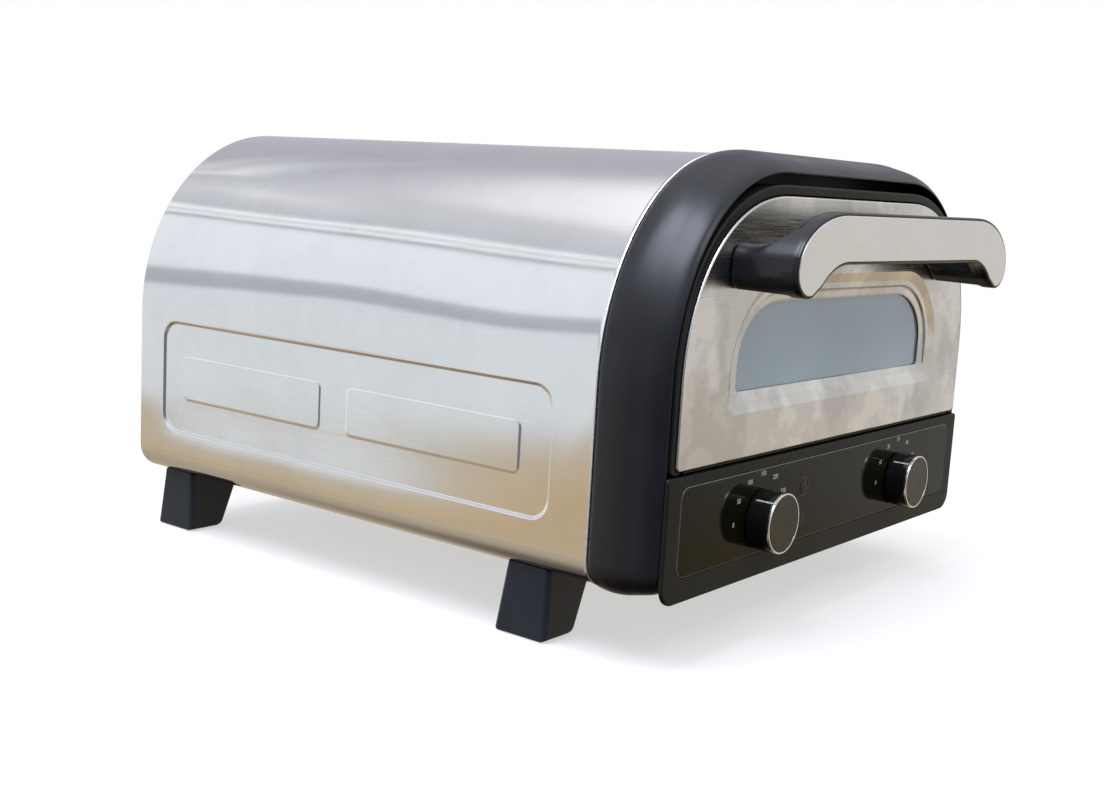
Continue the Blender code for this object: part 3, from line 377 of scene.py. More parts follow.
class Finish(NodeGraph):
    """A Principled material with procedural detail in the object's own metres."""

    def __init__(self, name, colour, roughness, metallic=0.0, **sockets):
        self.material = bpy.data.materials.new(name)
        self.material.use_nodes = True
        self.nodes = self.material.node_tree.nodes
        self.links = self.material.node_tree.links
        self.shader = self.nodes["Principled BSDF"]
        self.colour = (*colour, 1)
        self.height = None
        sockets.update(Base_Color=self.colour, Roughness=roughness, Metallic=metallic)
        for socket, value in sockets.items():
            self.shader.inputs[socket.replace("_", " ")].default_value = value
        self.place = self.nodes.new("ShaderNodeTexCoord").outputs["Object"]

    def noise(self, scale, detail=3.0, stretch=(1, 1, 1), rough=0.5, shift=(0, 0, 0)):
        place = self.add("Mapping", "Vector", {"Vector": self.place, "Scale": stretch, "Location": shift})
        inputs = {"Vector": place, "Scale": scale, "Detail": detail, "Roughness": rough}
        return self.add("TexNoise", "Fac", inputs)

    def spread(self, value, low, high, start=0.3, end=0.7):
        inputs = {"Value": value, "From Min": start, "From Max": end, "To Min": low, "To Max": high}
        return self.add("MapRange", "Result", inputs)

    def tint(self, value, other, high):
        """Mix the base colour towards another where value is high."""
        inputs = {"A": self.colour, "B": (*other, 1), "Factor": self.spread(value, 0.0, high)}
        self.colour = self.add("Mix", "Result", inputs, data_type="RGBA")
        self.links.new(self.colour, self.shader.inputs["Base Color"])

    def vary_roughness(self, value, low, high):
        self.links.new(self.spread(value, low, high), self.shader.inputs["Roughness"])

    def bump(self, value, depth):
        inputs = {"Height": value, "Distance": depth, "Strength": 1.0}
        if self.height is not None:
            inputs["Normal"] = self.height
        self.height = self.add("Bump", "Normal", inputs)
        self.links.new(self.height, self.shader.inputs["Normal"])


WAVE_SHIFT = (0.9, 0.9, 0.5)     # which stretch of the noise the sheets' waviness takes
ALONG_DEPTH = (1, 0.02, 1)       # stretch of a texture that is brushed front to back
ALONG_WIDTH = (0.02, 1, 1)       # and of one that is brushed from side to side
BRUSH_LINES = 1500
BRUSH_DEPTH = 0.000006


def shaded(colour, factor, lift=0.0):
    return tuple(channel * factor + lift for channel in colour)


def brushed_steel(name, colour, roughness, along, wave, wave_scale, cloud=0.93, **sockets):
    """Sheet steel: fine brush lines along one direction, faint waviness, clouds and smudges."""
    finish = Finish(name, colour, roughness, 1.0, **sockets)
    lines = finish.noise(BRUSH_LINES, 4, along, 0.7)
    finish.vary_roughness(lines, roughness * 0.75, roughness * 1.4)
    finish.tint(lines, shaded(colour, 0.92), 0.5)
    for scale, shade in ((16, cloud), (48, (1 + cloud) / 2)):
        patches = finish.spread(finish.noise(scale, 4), 0.0, 1.0, 0.40, 0.62)
        finish.tint(patches, shaded(colour, shade), 0.8)
    finish.bump(finish.noise(wave_scale, 1, (1, 0.8, 1), 0.5, WAVE_SHIFT), wave)
    finish.bump(lines, BRUSH_DEPTH)
    return finish.material


def speckled(name, colour, roughness, metallic, rough, tints=(), bump=None, stretch=(1, 1, 1), **sockets):
    """A finish whose roughness, colour and surface can each follow a noise.

    rough is (scale, detail, low, high), a tint (scale, detail, colour, share), bump (scale, detail, depth).
    """
    finish = Finish(name, colour, roughness, metallic, **sockets)
    for scale, detail, other, share in tints:
        finish.tint(finish.noise(scale, detail, stretch), other, share)
    if rough:
        scale, detail, low, high = rough
        finish.vary_roughness(finish.noise(scale, detail), low, high)
    if bump:
        scale, detail, depth = bump
        finish.bump(finish.noise(scale, detail), depth)
    return finish.material


def moulded_black(name, colour, roughness, grain, depth, specular):
    """Satin moulded plastic or powder coat: fine grain, slight dust and handling marks."""
    dust = (25, 5, shaded(colour, 1.3, 0.002), 0.7)
    return speckled(name, colour, roughness, 0.0, (25, 5, roughness - 0.04, roughness + 0.06), [dust],
                    (grain, 2, depth), Specular_IOR_Level=specular)


def plain_metal(name, colour, roughness, scale=60, stain=0.75):
    return speckled(name, colour, roughness, 1.0, (scale, 5, roughness - 0.06, roughness + 0.08),
                    [(scale, 5, shaded(colour, stain), 0.8)], (scale * 12, 3, 0.00003))


paint = {
    "shell": brushed_steel("shell_brushed_steel", (0.76, 0.765, 0.78), 0.080, ALONG_DEPTH, 0.0080, 4.0),
    "door": brushed_steel("door_brushed_steel", (0.75, 0.74, 0.72), 0.25, ALONG_WIDTH, 0.0016, 14, 0.64,
                          Anisotropic=0.55, Anisotropic_Rotation=0.25),
    "handle_steel": brushed_steel("handle_brushed_steel", (0.78, 0.78, 0.77), 0.28, ALONG_WIDTH, 0.0001, 9,
                                  0.95),
    "bezel": moulded_black("bezel_satin_black", (0.007, 0.008, 0.011), 0.33, 1400, 0.00002, 0.32),
    "fascia": moulded_black("fascia_satin_black", (0.012, 0.013, 0.011), 0.40, 1400, 0.00002, 0.10),
    "handle_black": moulded_black("handle_satin_black", (0.005, 0.006, 0.008), 0.22, 2200, 0.00001, 0.36),
    "knob_black": moulded_black("knob_black", (0.004, 0.005, 0.005), 0.12, 2200, 0.00001, 0.4),
    "foot": moulded_black("foot_textured_black", (0.016, 0.021, 0.030), 0.42, 1600, 0.00005, 0.22),
    "liner": plain_metal("aluminised_steel", (0.40, 0.39, 0.38), 0.38),
    "chassis": plain_metal("galvanised_steel", (0.52, 0.53, 0.54), 0.36, 90, 0.82),
    "zinc": plain_metal("zinc_plated_steel", (0.60, 0.60, 0.58), 0.30, 150),
    "bright": plain_metal("bright_steel", (0.86, 0.86, 0.86), 0.10, 90, 0.95),
    "element": plain_metal("element_sheath", (0.16, 0.14, 0.12), 0.48, 110, 0.6),
    "panel": speckled("control_glass_black", (0.007, 0.007, 0.003), 0.06, 0.0, (18, 4, 0.04, 0.10),
                      bump=(7, 2, 0.0002), Specular_IOR_Level=0.11),
    # the control pane's ground chamfer, far lighter than the pane: ground finish and painted highlight in one
    "ground_chamfer_and_highlight": speckled("pane_chamfer_painted_highlight", (0.075, 0.075, 0.065), 0.35, 0.0, (300, 3, 0.28, 0.45),
                            Specular_IOR_Level=0.6),
    "pane": speckled("window_glass_tinted", (0.42, 0.52, 0.60), 0.10, 0.45, (20, 4, 0.08, 0.16),
                     [(9, 3, (0.34, 0.43, 0.50), 0.8)], Alpha=0.90),
    "rubber": speckled("rubber_black", (0.018, 0.018, 0.018), 0.75, 0.0, (60, 4, 0.65, 0.88),
                       bump=(900, 3, 0.00008)),
    "stone": speckled("cordierite_stone", (0.58, 0.50, 0.39), 0.9, 0.0, (300, 4, 0.80, 0.98),
                      [(700, 6, (0.36, 0.30, 0.23), 0.7), (22, 5, (0.70, 0.62, 0.50), 0.6)],
                      (650, 6, 0.00035)),
    "ceramic": speckled("steatite_ceramic", (0.82, 0.80, 0.74), 0.5, 0.0, (120, 3, 0.42, 0.62),
                        [(70, 4, (0.70, 0.67, 0.60), 0.6)]),
    "wool": speckled("glass_wool", (0.78, 0.74, 0.60), 1.0, 0.0, None,
                     [(120, 6, (0.60, 0.55, 0.40), 0.9)], (160, 6, 0.003), (1, 0.3, 1), Sheen_Weight=0.3),
    "cap_face": speckled("spun_dark_cap", (0.050, 0.048, 0.038), 0.28, 0.9, (300, 3, 0.24, 0.38),
                         [(40, 4, (0.032, 0.030, 0.024), 0.8)], (1800, 3, 0.00001)),
    # lighter, rougher copy of the shell steel for the front hem: a painted highlight along the seam
    "edge": speckled("hem_steel_painted_highlight", (0.90, 0.90, 0.92), 0.55, 1.0, (500, 3, 0.45, 0.62),
                     bump=(2500, 3, 0.00001)),
    "collar": speckled("lamp_collar", (0.16, 0.10, 0.05), 0.35, 0.3, (200, 3, 0.28, 0.45)),
    "lens": speckled("lamp_lens_smoked", (0.010, 0.008, 0.004), 0.08, 0.0, (80, 3, 0.05, 0.12),
                     Specular_IOR_Level=0.13),
    "mark": speckled("printed_mark", (0.62, 0.62, 0.58), 0.45, 0.0, (400, 3, 0.38, 0.55),
                     [(900, 4, (0.45, 0.45, 0.42), 0.7)]),
}

# What each CAD node wears: finish, and how the nodes' names start.
CAD_PAINT = {
    "zinc": "hinge_arm stone_rail control_bracket timer rear_screw foot_screw handle_screw element_hanger",
    "ceramic": "thermostat upper_terminal lower_terminal",
    "wool": "insulation",
    "chassis": "base_plate rear_panel",
    "rubber": "foot_pad door_seal",
    "foot": "foot_",
    "liner": "door_inner_panel cavity_liner",
    "pane": "inner_window window_glass",
    "element": "upper_heating lower_heating",
    "stone": "baking_stone",
    # front_frame wears the satin black so the gap behind the bezel lip reads dark: painted shade
    "fascia": "front_frame cable_gland control_fascia door_frame",
    "shell": "outer_shell",
    "bezel": "front_bezel",
    "panel": "control_glass",
    "door": "door_plate",
    "handle_steel": "handle_plate",
    "handle_black": "handle_body",
    "lens": "heat_lamp power_lamp",
    "knob_black": "thermostat_knob timer_knob",
    "bright": "hinge_rod temperature thermostat_knob_cap timer_knob_cap",
}


def paint_cad_nodes():
    """Each CAD node takes the finish of the longest matching start of its name."""
    starts = {start: finish for finish, names in CAD_PAINT.items() for start in names.split()}
    for name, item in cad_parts.items():
        longest = max((start for start in starts if name.startswith(start)), key=len)
        item.data.materials.clear()
        item.data.materials.append(paint[starts[longest]])


# ---- outer shell -----------------------------------------------------
EMBOSS_DEPTH = 0.0016
PAD_DEPTH = 0.0008          # how deep the raised pads' tops still lie
CREASE = 0.0024
RECESS = (0.0304, 0.4020, 0.0775, 0.1610, 0.0140)
PADS = ((0.2305, 0.3790, 0.1025, 0.1370, 0.0050), (0.0548, 0.2065, 0.1025, 0.1370, 0.0050))
CREASE_STEPS = 6


def crease_rings(sheet, side, region, start, end):
    """Rings of a soft stamped step, in from a rounded rectangle's edge; depths run from start to end."""
    front, back, low, high, radius = region
    rings = []
    for step in range(CREASE_STEPS + 1):
        share = step / CREASE_STEPS
        ease = share * share * (3 - 2 * share)
        inset = CREASE * share
        depth = start + (end - start) * ease
        outline = rounded_box(SEAM_Y + front + inset, SEAM_Y + back - inset, low + inset, high - inset,
                              radius - inset * 0.6, radius - inset * 0.6)
        rings.append([sheet.verts.new((side * (HALF_WIDTH - depth), across, up)) for across, up in outline])
    for outer, inner in zip(rings, rings[1:]):
        step_between(sheet, outer, inner)
    return rings[0], rings[-1]


def side_wall(sheet, side, border):
    edge, floor = crease_rings(sheet, side, RECESS, 0, EMBOSS_DEPTH)
    fill_between(sheet, [border, edge])
    feet = []
    for pad in PADS:
        foot, top = crease_rings(sheet, side, pad, EMBOSS_DEPTH, PAD_DEPTH)
        feet.append(foot)
        sheet.faces.new(top)
    fill_between(sheet, [floor] + feet)


def make_shell():
    """Folded sheet with a soft front hem, a rear flange and stamped sides."""
    profile = [(0.0003, 0.0012), (0.0001, 0.0004), (0.0003, -0.0002), (0.0010, -0.0005), (0.0020, -0.0002),
               (0.0032, 0.0000)]
    back = REAR_Y - SEAM_Y
    tail = [(back - 0.0016, 0.0000), (back - 0.0005, 0.0005), (back, 0.0016), (back, REAR_FLANGE)]
    rows = []
    sheet = bmesh.new()
    for depth, inset in profile + tail:
        outline = arch(HALF_WIDTH - inset, SHELL_TOP - inset, SHELL_BOTTOM + inset, SHELL_CORNER - inset)
        low = SHELL_BOTTOM + inset
        path = [(SHELL_RETURN_X, low)] + outline + [(-SHELL_RETURN_X, low)]
        rows.append([sheet.verts.new((across, SEAM_Y + depth, up)) for across, up in path])
    right_wall = 1 + CORNER_STEPS
    left_wall = len(rows[0]) - 3 - CORNER_STEPS
    for row, (near, far) in enumerate(zip(rows, rows[1:])):
        for index in range(len(near) - 1):
            corners = (near[index], near[index + 1], far[index + 1], far[index])
            flat = row == len(profile) - 1 and index in (right_wall, left_wall)
            if flat:
                side_wall(sheet, 1 if index == right_wall else -1, list(corners))
            else:
                sheet.faces.new(corners)
    face_towards(sheet, (0, 0, 1))
    holes = [rod(0.0020, "Y", (across, REAR_Y, up), -0.004, 0.004) for across, up in REAR_SCREWS]
    shell = make_piece("shell", sheet, "shell", "oven", ["outer_shell"], cuts=holes,
                       thickness=SHEET)
    # faces along the front hem take the lighter steel: a painted highlight line at the seam
    shell.data.materials.append(paint["edge"])
    for face in shell.data.polygons:
        if face.center.y < SEAM_Y + 0.0009:
            face.material_index = 1


# ---- front bezel -----------------------------------------------------
LIP_SIDE = 0.0080
LIP_TOP = 0.0105
LIP_BOTTOM = 0.0090
LIP_CORNER = 0.007
# Section of the ring: how far in front of the shell, and how far in as a share of the lip.
BEZEL_OUTSIDE = ((0.0006, 0.02), (0.0030, -0.13), (0.0080, -0.22), (0.0140, -0.25), (0.0210, -0.17),
                 (0.0280, 0.00), (0.0340, 0.15), (0.0390, 0.33), (0.0430, 0.56), (0.0452, 0.80),
                 (0.0459, 0.93), (0.0455, 1.00))
BEZEL_INSIDE = ((0.0430, 1.00), (0.0400, 0.77), (0.0340, 0.45), (0.0280, 0.28), (0.0140, 0.05),
                (0.0030, 0.17), (0.0006, 0.30))


def make_bezel():
    section = smooth_through(BEZEL_OUTSIDE, 4) + list(BEZEL_INSIDE)
    rings = []
    for depth, share in section:
        share = max(share, -0.25)
        outline = arch(HALF_WIDTH - LIP_SIDE * share, SHELL_TOP - LIP_TOP * share,
                       SHELL_BOTTOM + LIP_BOTTOM * share, SHELL_CORNER - LIP_CORNER * share,
                       2.0 + 0.1 * max(share, 0), 12, 48)
        rings.append(at_y(SEAM_Y - depth, outline))
    make_piece("bezel", loft(rings, closed=True), "bezel", "oven", ["front_bezel"], sharp=50)


# ---- back and underside ----------------------------------------------
PANEL_BACK = REAR_Y - SHEET - GAP
GLAND = (0.140, 0.082)
GLAND_RIBS = 20
VENT_ROWS = [0.150 + 0.014 * row for row in range(6)]
VENT_X = 0.085              # middle of each field of vents
VENT_HALF = 0.045
VENT_HEIGHT = 0.005
SLOT_SPOTS = [-0.108 + 0.036 * column for column in range(7)]


def make_rear_panel():
    """Folded panel with rows of rounded slots, each under a pressed hood."""
    def outline(inset):
        shape = arch(HALF_WIDTH - inset, SHELL_TOP - inset, SHELL_BOTTOM + inset, SHELL_CORNER - inset)
        return [(across, max(up, SHELL_BOTTOM + 2 * SHEET + 2 * GAP)) for across, up in shape]

    edge = SHEET + GAP
    front = PANEL_BACK - 0.011
    rings = [at_y(front, outline(edge))]
    rings += [at_y(PANEL_BACK - depth, outline(edge + inset)) for depth, inset in fillet(0.0008, 3)]
    rings.reverse()
    rings += [at_y(front, outline(edge + SHEET)), at_y(PANEL_BACK - SHEET, outline(edge + SHEET))]
    cuts = [rod(0.0088, "Y", (GLAND[0], PANEL_BACK, GLAND[1]), -0.01, 0.01)]
    cuts += [rod(0.0022, "Y", (across, PANEL_BACK, up), -0.014, 0.004, 24) for across, up in REAR_SCREWS]
    for middle in (-VENT_X, VENT_X):
        for low in VENT_ROWS:
            left, right = middle - VENT_HALF, middle + VENT_HALF
            slot = rounded_box(left, right, low, low + VENT_HEIGHT, 0.00245, 0.00245)
            cuts.append(loft([at_y(PANEL_BACK - 0.004, slot), at_y(PANEL_BACK + 0.004, slot)]))
    make_piece("rear_cover", loft(rings), "chassis", "oven", ["rear_panel"], cuts=cuts)
    for group, middle in (("left", -VENT_X), ("right", VENT_X)):
        hoods = [make_hood(middle, low + VENT_HEIGHT) for low in VENT_ROWS]
        make_piece("vent_hoods_" + group, join(hoods), "chassis", "oven", sharp=50)


def make_hood(middle, level):
    """A lip over one slot: a quarter-round strip that dies away at both ends."""
    rings = []
    steps = 24
    for step in range(steps + 1):
        share = step / steps
        across = middle + 0.047 * (2 * share - 1)
        swell = min(1, 5 * share, 5 * (1 - share)) ** 0.5
        reach = 0.0002 + 0.0013 * swell
        loop = [(0.0002, 0.0024), (reach * 0.55, 0.0019), (reach * 0.9, 0.0010), (reach, 0.0000),
                (reach - 0.0001, -0.0006), (0.0002, -0.0002)]
        rings.append([(across, PANEL_BACK + depth - 0.0001, level + up) for depth, up in loop])
    return loft(rings)


def cross_recess(axis, centre, low, high, arm):
    """Two crossed slots, for a screwdriver."""
    bars = []
    for first, second in ((arm, arm * 0.22), (arm * 0.22, arm)):
        x, y, z = centre
        if axis == "Y":
            bars.append(block((x - first, y + low, z - second), (x + first, y + high, z + second)))
        else:
            bars.append(block((x - first, y - second, z + low), (x + first, y + second, z + high)))
    return bars


def make_rear_fittings():
    spots = dict(zip(("lower_left", "lower_right", "upper_left", "upper_right"), REAR_SCREWS))
    profile = [(0, -0.0120), (0.0018, -0.0110), (0.0018, GAP), (0.0034, GAP), (0.0037, GAP + 0.0003),
               (0.0036, GAP + 0.0008), (0.0029, GAP + 0.0015), (0.0016, GAP + 0.0020), (0, GAP + 0.0021)]
    for name, (across, up) in spots.items():
        centre = (across, REAR_Y, up)
        recess = cross_recess("Y", centre, 0.0009, 0.0040, 0.0016)
        make_piece("back_screw_" + name, turned(profile, "Y", centre, 48), "zinc", "oven",
                   ["rear_screw_" + name], cuts=recess)
    centre = (GLAND[0], PANEL_BACK, GLAND[1])
    profile = [(0.0038, -0.0105), (0.0084, -0.0105), (0.0084, GAP), (0.0117, GAP), (0.0120, 0.0006),
               (0.0119, 0.0022), (0.0112, 0.0028), (0.0095, 0.0032), (0.0090, 0.0058), (0.0084, 0.0060),
               (0.0046, 0.0060), (0.0038, 0.0054)]
    ribs = []
    for step in range(GLAND_RIBS):
        angle = 2 * pi * step / GLAND_RIBS
        spot = (centre[0] + 0.0093 * cos(angle), centre[1], centre[2] + 0.0093 * sin(angle))
        ribs.append(rod(0.0006, "Y", spot, 0.0031, 0.0070, 12))
    make_piece("cable_bush", turned(profile, "Y", centre, 64, closed=True), "fascia", "oven",
               ["cable_gland"], cuts=ribs)


def make_base():
    low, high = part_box("base_plate")
    cuts = []
    for middle in SLOT_SPOTS:
        outline = rounded_box(middle - 0.003, middle + 0.003, -0.0205, 0.0995, 0.0029, 0.0029, 6)
        cuts.append(loft([[(x, y, level) for x, y in outline] for level in (low.z - 0.01, high.z + 0.01)]))
    for name in FEET:
        screw_low, screw_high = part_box("foot_screw_" + name)
        middle = (screw_low + screw_high) / 2
        cuts.append(rod(0.0026, "Z", (middle.x, middle.y, low.z), -0.01, 0.01, 24))
    make_piece("floor_pan", block(low, high), "chassis", "oven", ["base_plate"],
               bevel=0.0003, cuts=cuts)


# ---- feet ------------------------------------------------------------
FOOT_EDGE = [(0.000, 0.0038), (0.008, 0.0024), (0.028, 0.0012), (0.055, 0.0004), (0.095, 0.0000)]
FOOT_TOP_WIDTH = 0.0470
FOOT_SOLE_WIDTH = 0.0330
FOOT_HEEL = (0.0260, 0.006)         # centre of the sole's inner curve: in from the side, and up
FOOT_LENGTH = 0.0335                # at the top
FOOT_SPREAD = 0.0085                # how much longer the foot is at the floor
PAD_GROOVES = 5
PAD_GROOVE_PITCH = 0.006


def foot_section(outer, shrink, top, bottom):
    rise = top - bottom
    drop = min(shrink, 0.0008)
    centre_x = HALF_WIDTH - SHELL_CORNER
    radius = SHELL_CORNER + GAP
    reach = outer - centre_x
    points = [(outer - 0.0010 - shrink, bottom + shrink)]
    for step in range(13):
        across = reach * (12 - step) / 12
        up = SHELL_BOTTOM + SHELL_CORNER - (radius ** 2 - across ** 2) ** 0.5
        points.append((centre_x + across - shrink, up - drop))
    points.append((outer - FOOT_TOP_WIDTH + shrink, top - drop))
    points.append((outer - FOOT_SOLE_WIDTH + shrink, bottom + 0.14 * rise))
    heel = (outer - FOOT_HEEL[0], bottom + FOOT_HEEL[1])
    points += arc(heel, (0.0066 - shrink, FOOT_HEEL[1] - shrink), 200, 270, 8)
    return points


def screw_bore(middle):
    """Bore through foot and pad that the screw's head goes up."""
    return rod(0.0056, "Z", (middle.x, middle.y, 0), -0.002, 0.0240)


def make_feet():
    for name in FEET:
        low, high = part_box("foot_" + name)
        side = 1 if low.x > 0 else -1
        outer = max(abs(low.x), abs(high.x))
        front = low.y
        rings = []
        for share, shrink in FOOT_EDGE + [(1 - share, shrink) for share, shrink in reversed(FOOT_EDGE)]:
            ring_points = []
            for across, up in foot_section(outer, shrink, high.z, low.z):
                lean = 1 - (up - low.z) / (high.z - low.z)
                length = FOOT_LENGTH + FOOT_SPREAD * lean
                ring_points.append((side * across, front + 0.001 * lean + length * share, up))
            rings.append(ring_points)
        screw_low, screw_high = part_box("foot_screw_" + name)
        middle = (screw_low + screw_high) / 2
        pad_low, pad_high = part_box("foot_pad_" + name)
        margin = Vector((GAP, GAP, GAP))
        cuts = [screw_bore(middle), block(pad_low - margin, pad_high + margin),
                rod(0.0026, "Z", (middle.x, middle.y, 0), 0.02, 0.06, 24)]
        make_piece("leg_" + name, loft(rings), "foot", "oven", ["foot_" + name], bevel=0.0014,
                   sharp=28, cuts=cuts)
        grooves = []
        for row in range(PAD_GROOVES):
            start = pad_low.y + 0.0028 + PAD_GROOVE_PITCH * row
            end = pad_low.y + 0.0040 + PAD_GROOVE_PITCH * row
            grooves.append(block((pad_low.x - 0.001, start, -0.001), (pad_high.x + 0.001, end, 0.0006)))
        make_piece("pad_" + name, block(pad_low, pad_high), "rubber", "oven", ["foot_pad_" + name],
                   bevel=0.0004, cuts=grooves + [screw_bore(middle)])
        profile = [(0, 0.0202), (0.0030, 0.0203), (0.0044, 0.0208), (0.0048, 0.0216), (0.0048, 0.0237),
                   (0.0021, 0.0237), (0.0021, 0.0505), (0, 0.0520)]
        centre = (middle.x, middle.y, 0)
        make_piece("leg_screw_" + name, turned(profile, "Z", centre, 40), "zinc", "oven",
                   ["foot_screw_" + name], cuts=cross_recess("Z", centre, 0.0190, 0.0218, 0.0022))


# ---- oven cavity -----------------------------------------------------
CAVITY = (liner_high.x - 0.0010, liner_high.z - 0.0010, liner_low.z + 0.0010)
TERMINAL_X = 0.025
ELEMENT_REAR_Y = 0.1295     # the elements' rear runs
ELEMENT_BEND = 0.022
LINER_STEPS = 48


def cavity_arch(grow):
    side, top, floor = CAVITY
    return arch(side + grow, top + grow, floor - grow, 0.008 + grow)


def make_element(name):
    """Tubular element: in from one terminal, round the cavity and out at the other."""
    low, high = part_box(name + "_heating_element")
    level = (low.z + high.z) / 2
    corners = [(-TERMINAL_X, high.y), (-TERMINAL_X, ELEMENT_REAR_Y), (low.x, ELEMENT_REAR_Y),
               (low.x, low.y), (high.x, low.y), (high.x, ELEMENT_REAR_Y),
               (TERMINAL_X, ELEMENT_REAR_Y), (TERMINAL_X, high.y)]
    radius = (high.z - low.z) / 2
    route = []
    for across, depth in corners:
        shift = radius if across == low.x else -radius if across == high.x else 0
        route.append((across + shift, depth + (radius if depth == low.y else 0), level))
    make_piece(name + "_element_tube", tube(rounded_path(route, ELEMENT_BEND), radius), "element", "oven",
               [name + "_heating_element"], sharp=60)


def make_liner():
    """Pressed liner with shallow ribs round it, and holes for the sensor and the terminals."""
    rear = liner_high.y - 0.0010
    front = liner_low.y
    outside, inside = [], []
    for step in range(LINER_STEPS + 1):
        share = step / LINER_STEPS
        depth = front + (rear - front) * share
        rib = 0.0008 * max(0, sin(share * 8 * pi)) ** 2
        outside.append(at_y(depth, cavity_arch(0.0010 - rib)))
        inside.append(at_y(depth, cavity_arch(-rib)))
    rings = [at_y(rear + 0.0010, cavity_arch(0.0004))] + outside[::-1] + inside
    spots = [middle_of("temperature_sensor")[::2]]
    for name in ("upper", "lower"):
        level = middle_of(name + "_heating_element")[2]
        spots += [(side * TERMINAL_X, level) for side in (-1, 1)]
    cuts = [rod(0.0042, "Y", (across, rear, up), -0.02, 0.02, 32) for across, up in spots]
    make_piece("liner", loft(rings), "liner", "oven", ["cavity_liner"], cuts=cuts)


def make_stone():
    low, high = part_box("baking_stone")
    rings = []
    for level, inset in ((low.z, 0.0012), (low.z + 0.0004, 0.0004), (low.z + 0.0012, 0), (high.z - 0.0012, 0),
                         (high.z - 0.0004, 0.0004), (high.z, 0.0012)):
        outline = rounded_box(low.x + inset, high.x - inset, low.y + inset, high.y - inset, 0.012 - inset,
                              0.012 - inset, 12)
        rings.append([(across, depth, level) for across, depth in outline])
    make_piece("stone", loft(rings), "stone", "oven", ["baking_stone"], sharp=60)


# ---- control panel ---------------------------------------------------
knob_low, knob_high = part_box("timer_knob")
KNOB_X, _, KNOB_Z = middle_of("timer_knob")
LAMPS = ("heat_lamp", "power_lamp")
POINTER_ANGLE = 131         # where both pointers stand, anticlockwise from the right
FASCIA_CORNER = 0.0125
FASCIA_TOP_CORNER = 0.0022
SKIRT_X = 0.188
GLASS_CORNER = 0.0077
NUMBERS = 8                 # printed round each knob
FIRST_NUMBER_ANGLE = 179
NUMBER_SPACING = 30
NUMBER_RADII = (0.0315, 0.0285)
NUMBER_HEIGHT = 0.0044
INK = 0.00004


def front_outline(box, inset, low_radius, high_radius, steps):
    """Rounded front view of a box, drawn in all round by inset."""
    low, high = box
    return rounded_box(low.x + inset, high.x - inset, low.z + inset, high.z - inset, low_radius, high_radius,
                       steps)


def lamp_place(name):
    """Centre of a lamp on the fascia's face, and its radius."""
    low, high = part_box(name)
    across, _, up = middle_of(name)
    return (across, FACE_Y, up), (high.x - low.x) / 2


def control_holes():
    cuts = [rod(0.0045, "Y", (side * KNOB_X, FACE_Y, KNOB_Z), -0.006, 0.006) for side in (-1, 1)]
    for name in LAMPS:
        centre, radius = lamp_place(name)
        cuts.append(rod(radius + GAP, "Y", centre, -0.006, 0.006))
    return cuts


def make_fascia():
    side, low, high = fascia_high.x, fascia_low.z, fascia_high.z
    rings = []
    for depth, inset in reversed(fillet(0.0014)):
        outline = rounded_box(-side + inset, side - inset, low + inset, high - inset * 0.6,
                              FASCIA_CORNER - inset, FASCIA_TOP_CORNER, 12)
        rings.append(at_y(FACE_Y + depth, outline))
    box_half = side - 0.0030
    box_low = SHELL_BOTTOM + 0.0105
    outer = rounded_box(-box_half, box_half, box_low, high - 0.0005, 0.010, 0.0015, 12)
    inner = rounded_box(-box_half + 0.002, box_half - 0.002, box_low + 0.002, high - 0.0025, 0.008, 0.001, 12)
    back = rounded_box(-side, side, low, high, FASCIA_CORNER, FASCIA_TOP_CORNER, 12)
    rings += [at_y(FACE_Y + 0.0025, back), at_y(FACE_Y + 0.0025, outer), at_y(fascia_high.y, outer),
              at_y(fascia_high.y, inner), at_y(FACE_Y + 0.0045, inner)]
    item = new_object("fascia", loft(rings))
    skirt = block((-SKIRT_X, FACE_Y + 0.0015, low + 0.0002), (SKIRT_X, FACE_Y + 0.0100, low + 0.0020))
    combine(item, [skirt], "UNION")
    seat = front_outline((panel_low, panel_high), -GAP, 0.008, 0.008, 12)
    pocket = loft([at_y(FACE_Y - 0.002, seat), at_y(FACE_Y + 0.002, seat)])
    combine(item, [pocket] + control_holes())
    finish_piece(item, "fascia", "oven", ["control_fascia"])


def make_control_pane():
    """Glossy pane whose ground edge is a lighter finish: a ground chamfer that also carries a painted
    highlight.
    """
    glass = (panel_low, panel_high)
    rings = [at_y(panel_high.y, front_outline(glass, 0, GLASS_CORNER, GLASS_CORNER, 12))]
    for depth, inset in fillet(0.0007, 3):
        corner = GLASS_CORNER - inset
        rings.append(at_y(panel_low.y + depth, front_outline(glass, inset, corner, corner, 12)))
    pane = make_piece("control_pane", loft(rings), "panel", "oven", ["control_glass"],
                      cuts=control_holes())
    # chamfer faces take the lighter finish: a ground edge plus a painted highlight along the pane's outline
    pane.data.materials.append(paint["ground_chamfer_and_highlight"])
    for face in pane.data.polygons:
        if 0.15 < -face.normal.y < 0.97:
            face.material_index = 1


def make_number(name, text, across, up, size):
    """A printed number, as thin raised ink on the control pane."""
    curve = bpy.data.curves.new(name, "FONT")
    curve.body = text
    curve.size = size
    curve.align_x = "CENTER"
    curve.align_y = "CENTER"
    curve.extrude = INK
    curve.resolution_u = 3
    source = bpy.data.objects.new(name, curve)
    bpy.context.scene.collection.objects.link(source)
    mesh = bpy.data.meshes.new_from_object(source.evaluated_get(bpy.context.evaluated_depsgraph_get()))
    bpy.data.objects.remove(source)
    solid = bmesh.new()
    solid.from_mesh(mesh)
    bmesh.ops.remove_doubles(solid, verts=solid.verts, dist=1e-7)
    solid.transform(Matrix.Translation((across, panel_low.y - INK, up)) @ Matrix.Rotation(pi / 2, 4, "X"))
    return solid


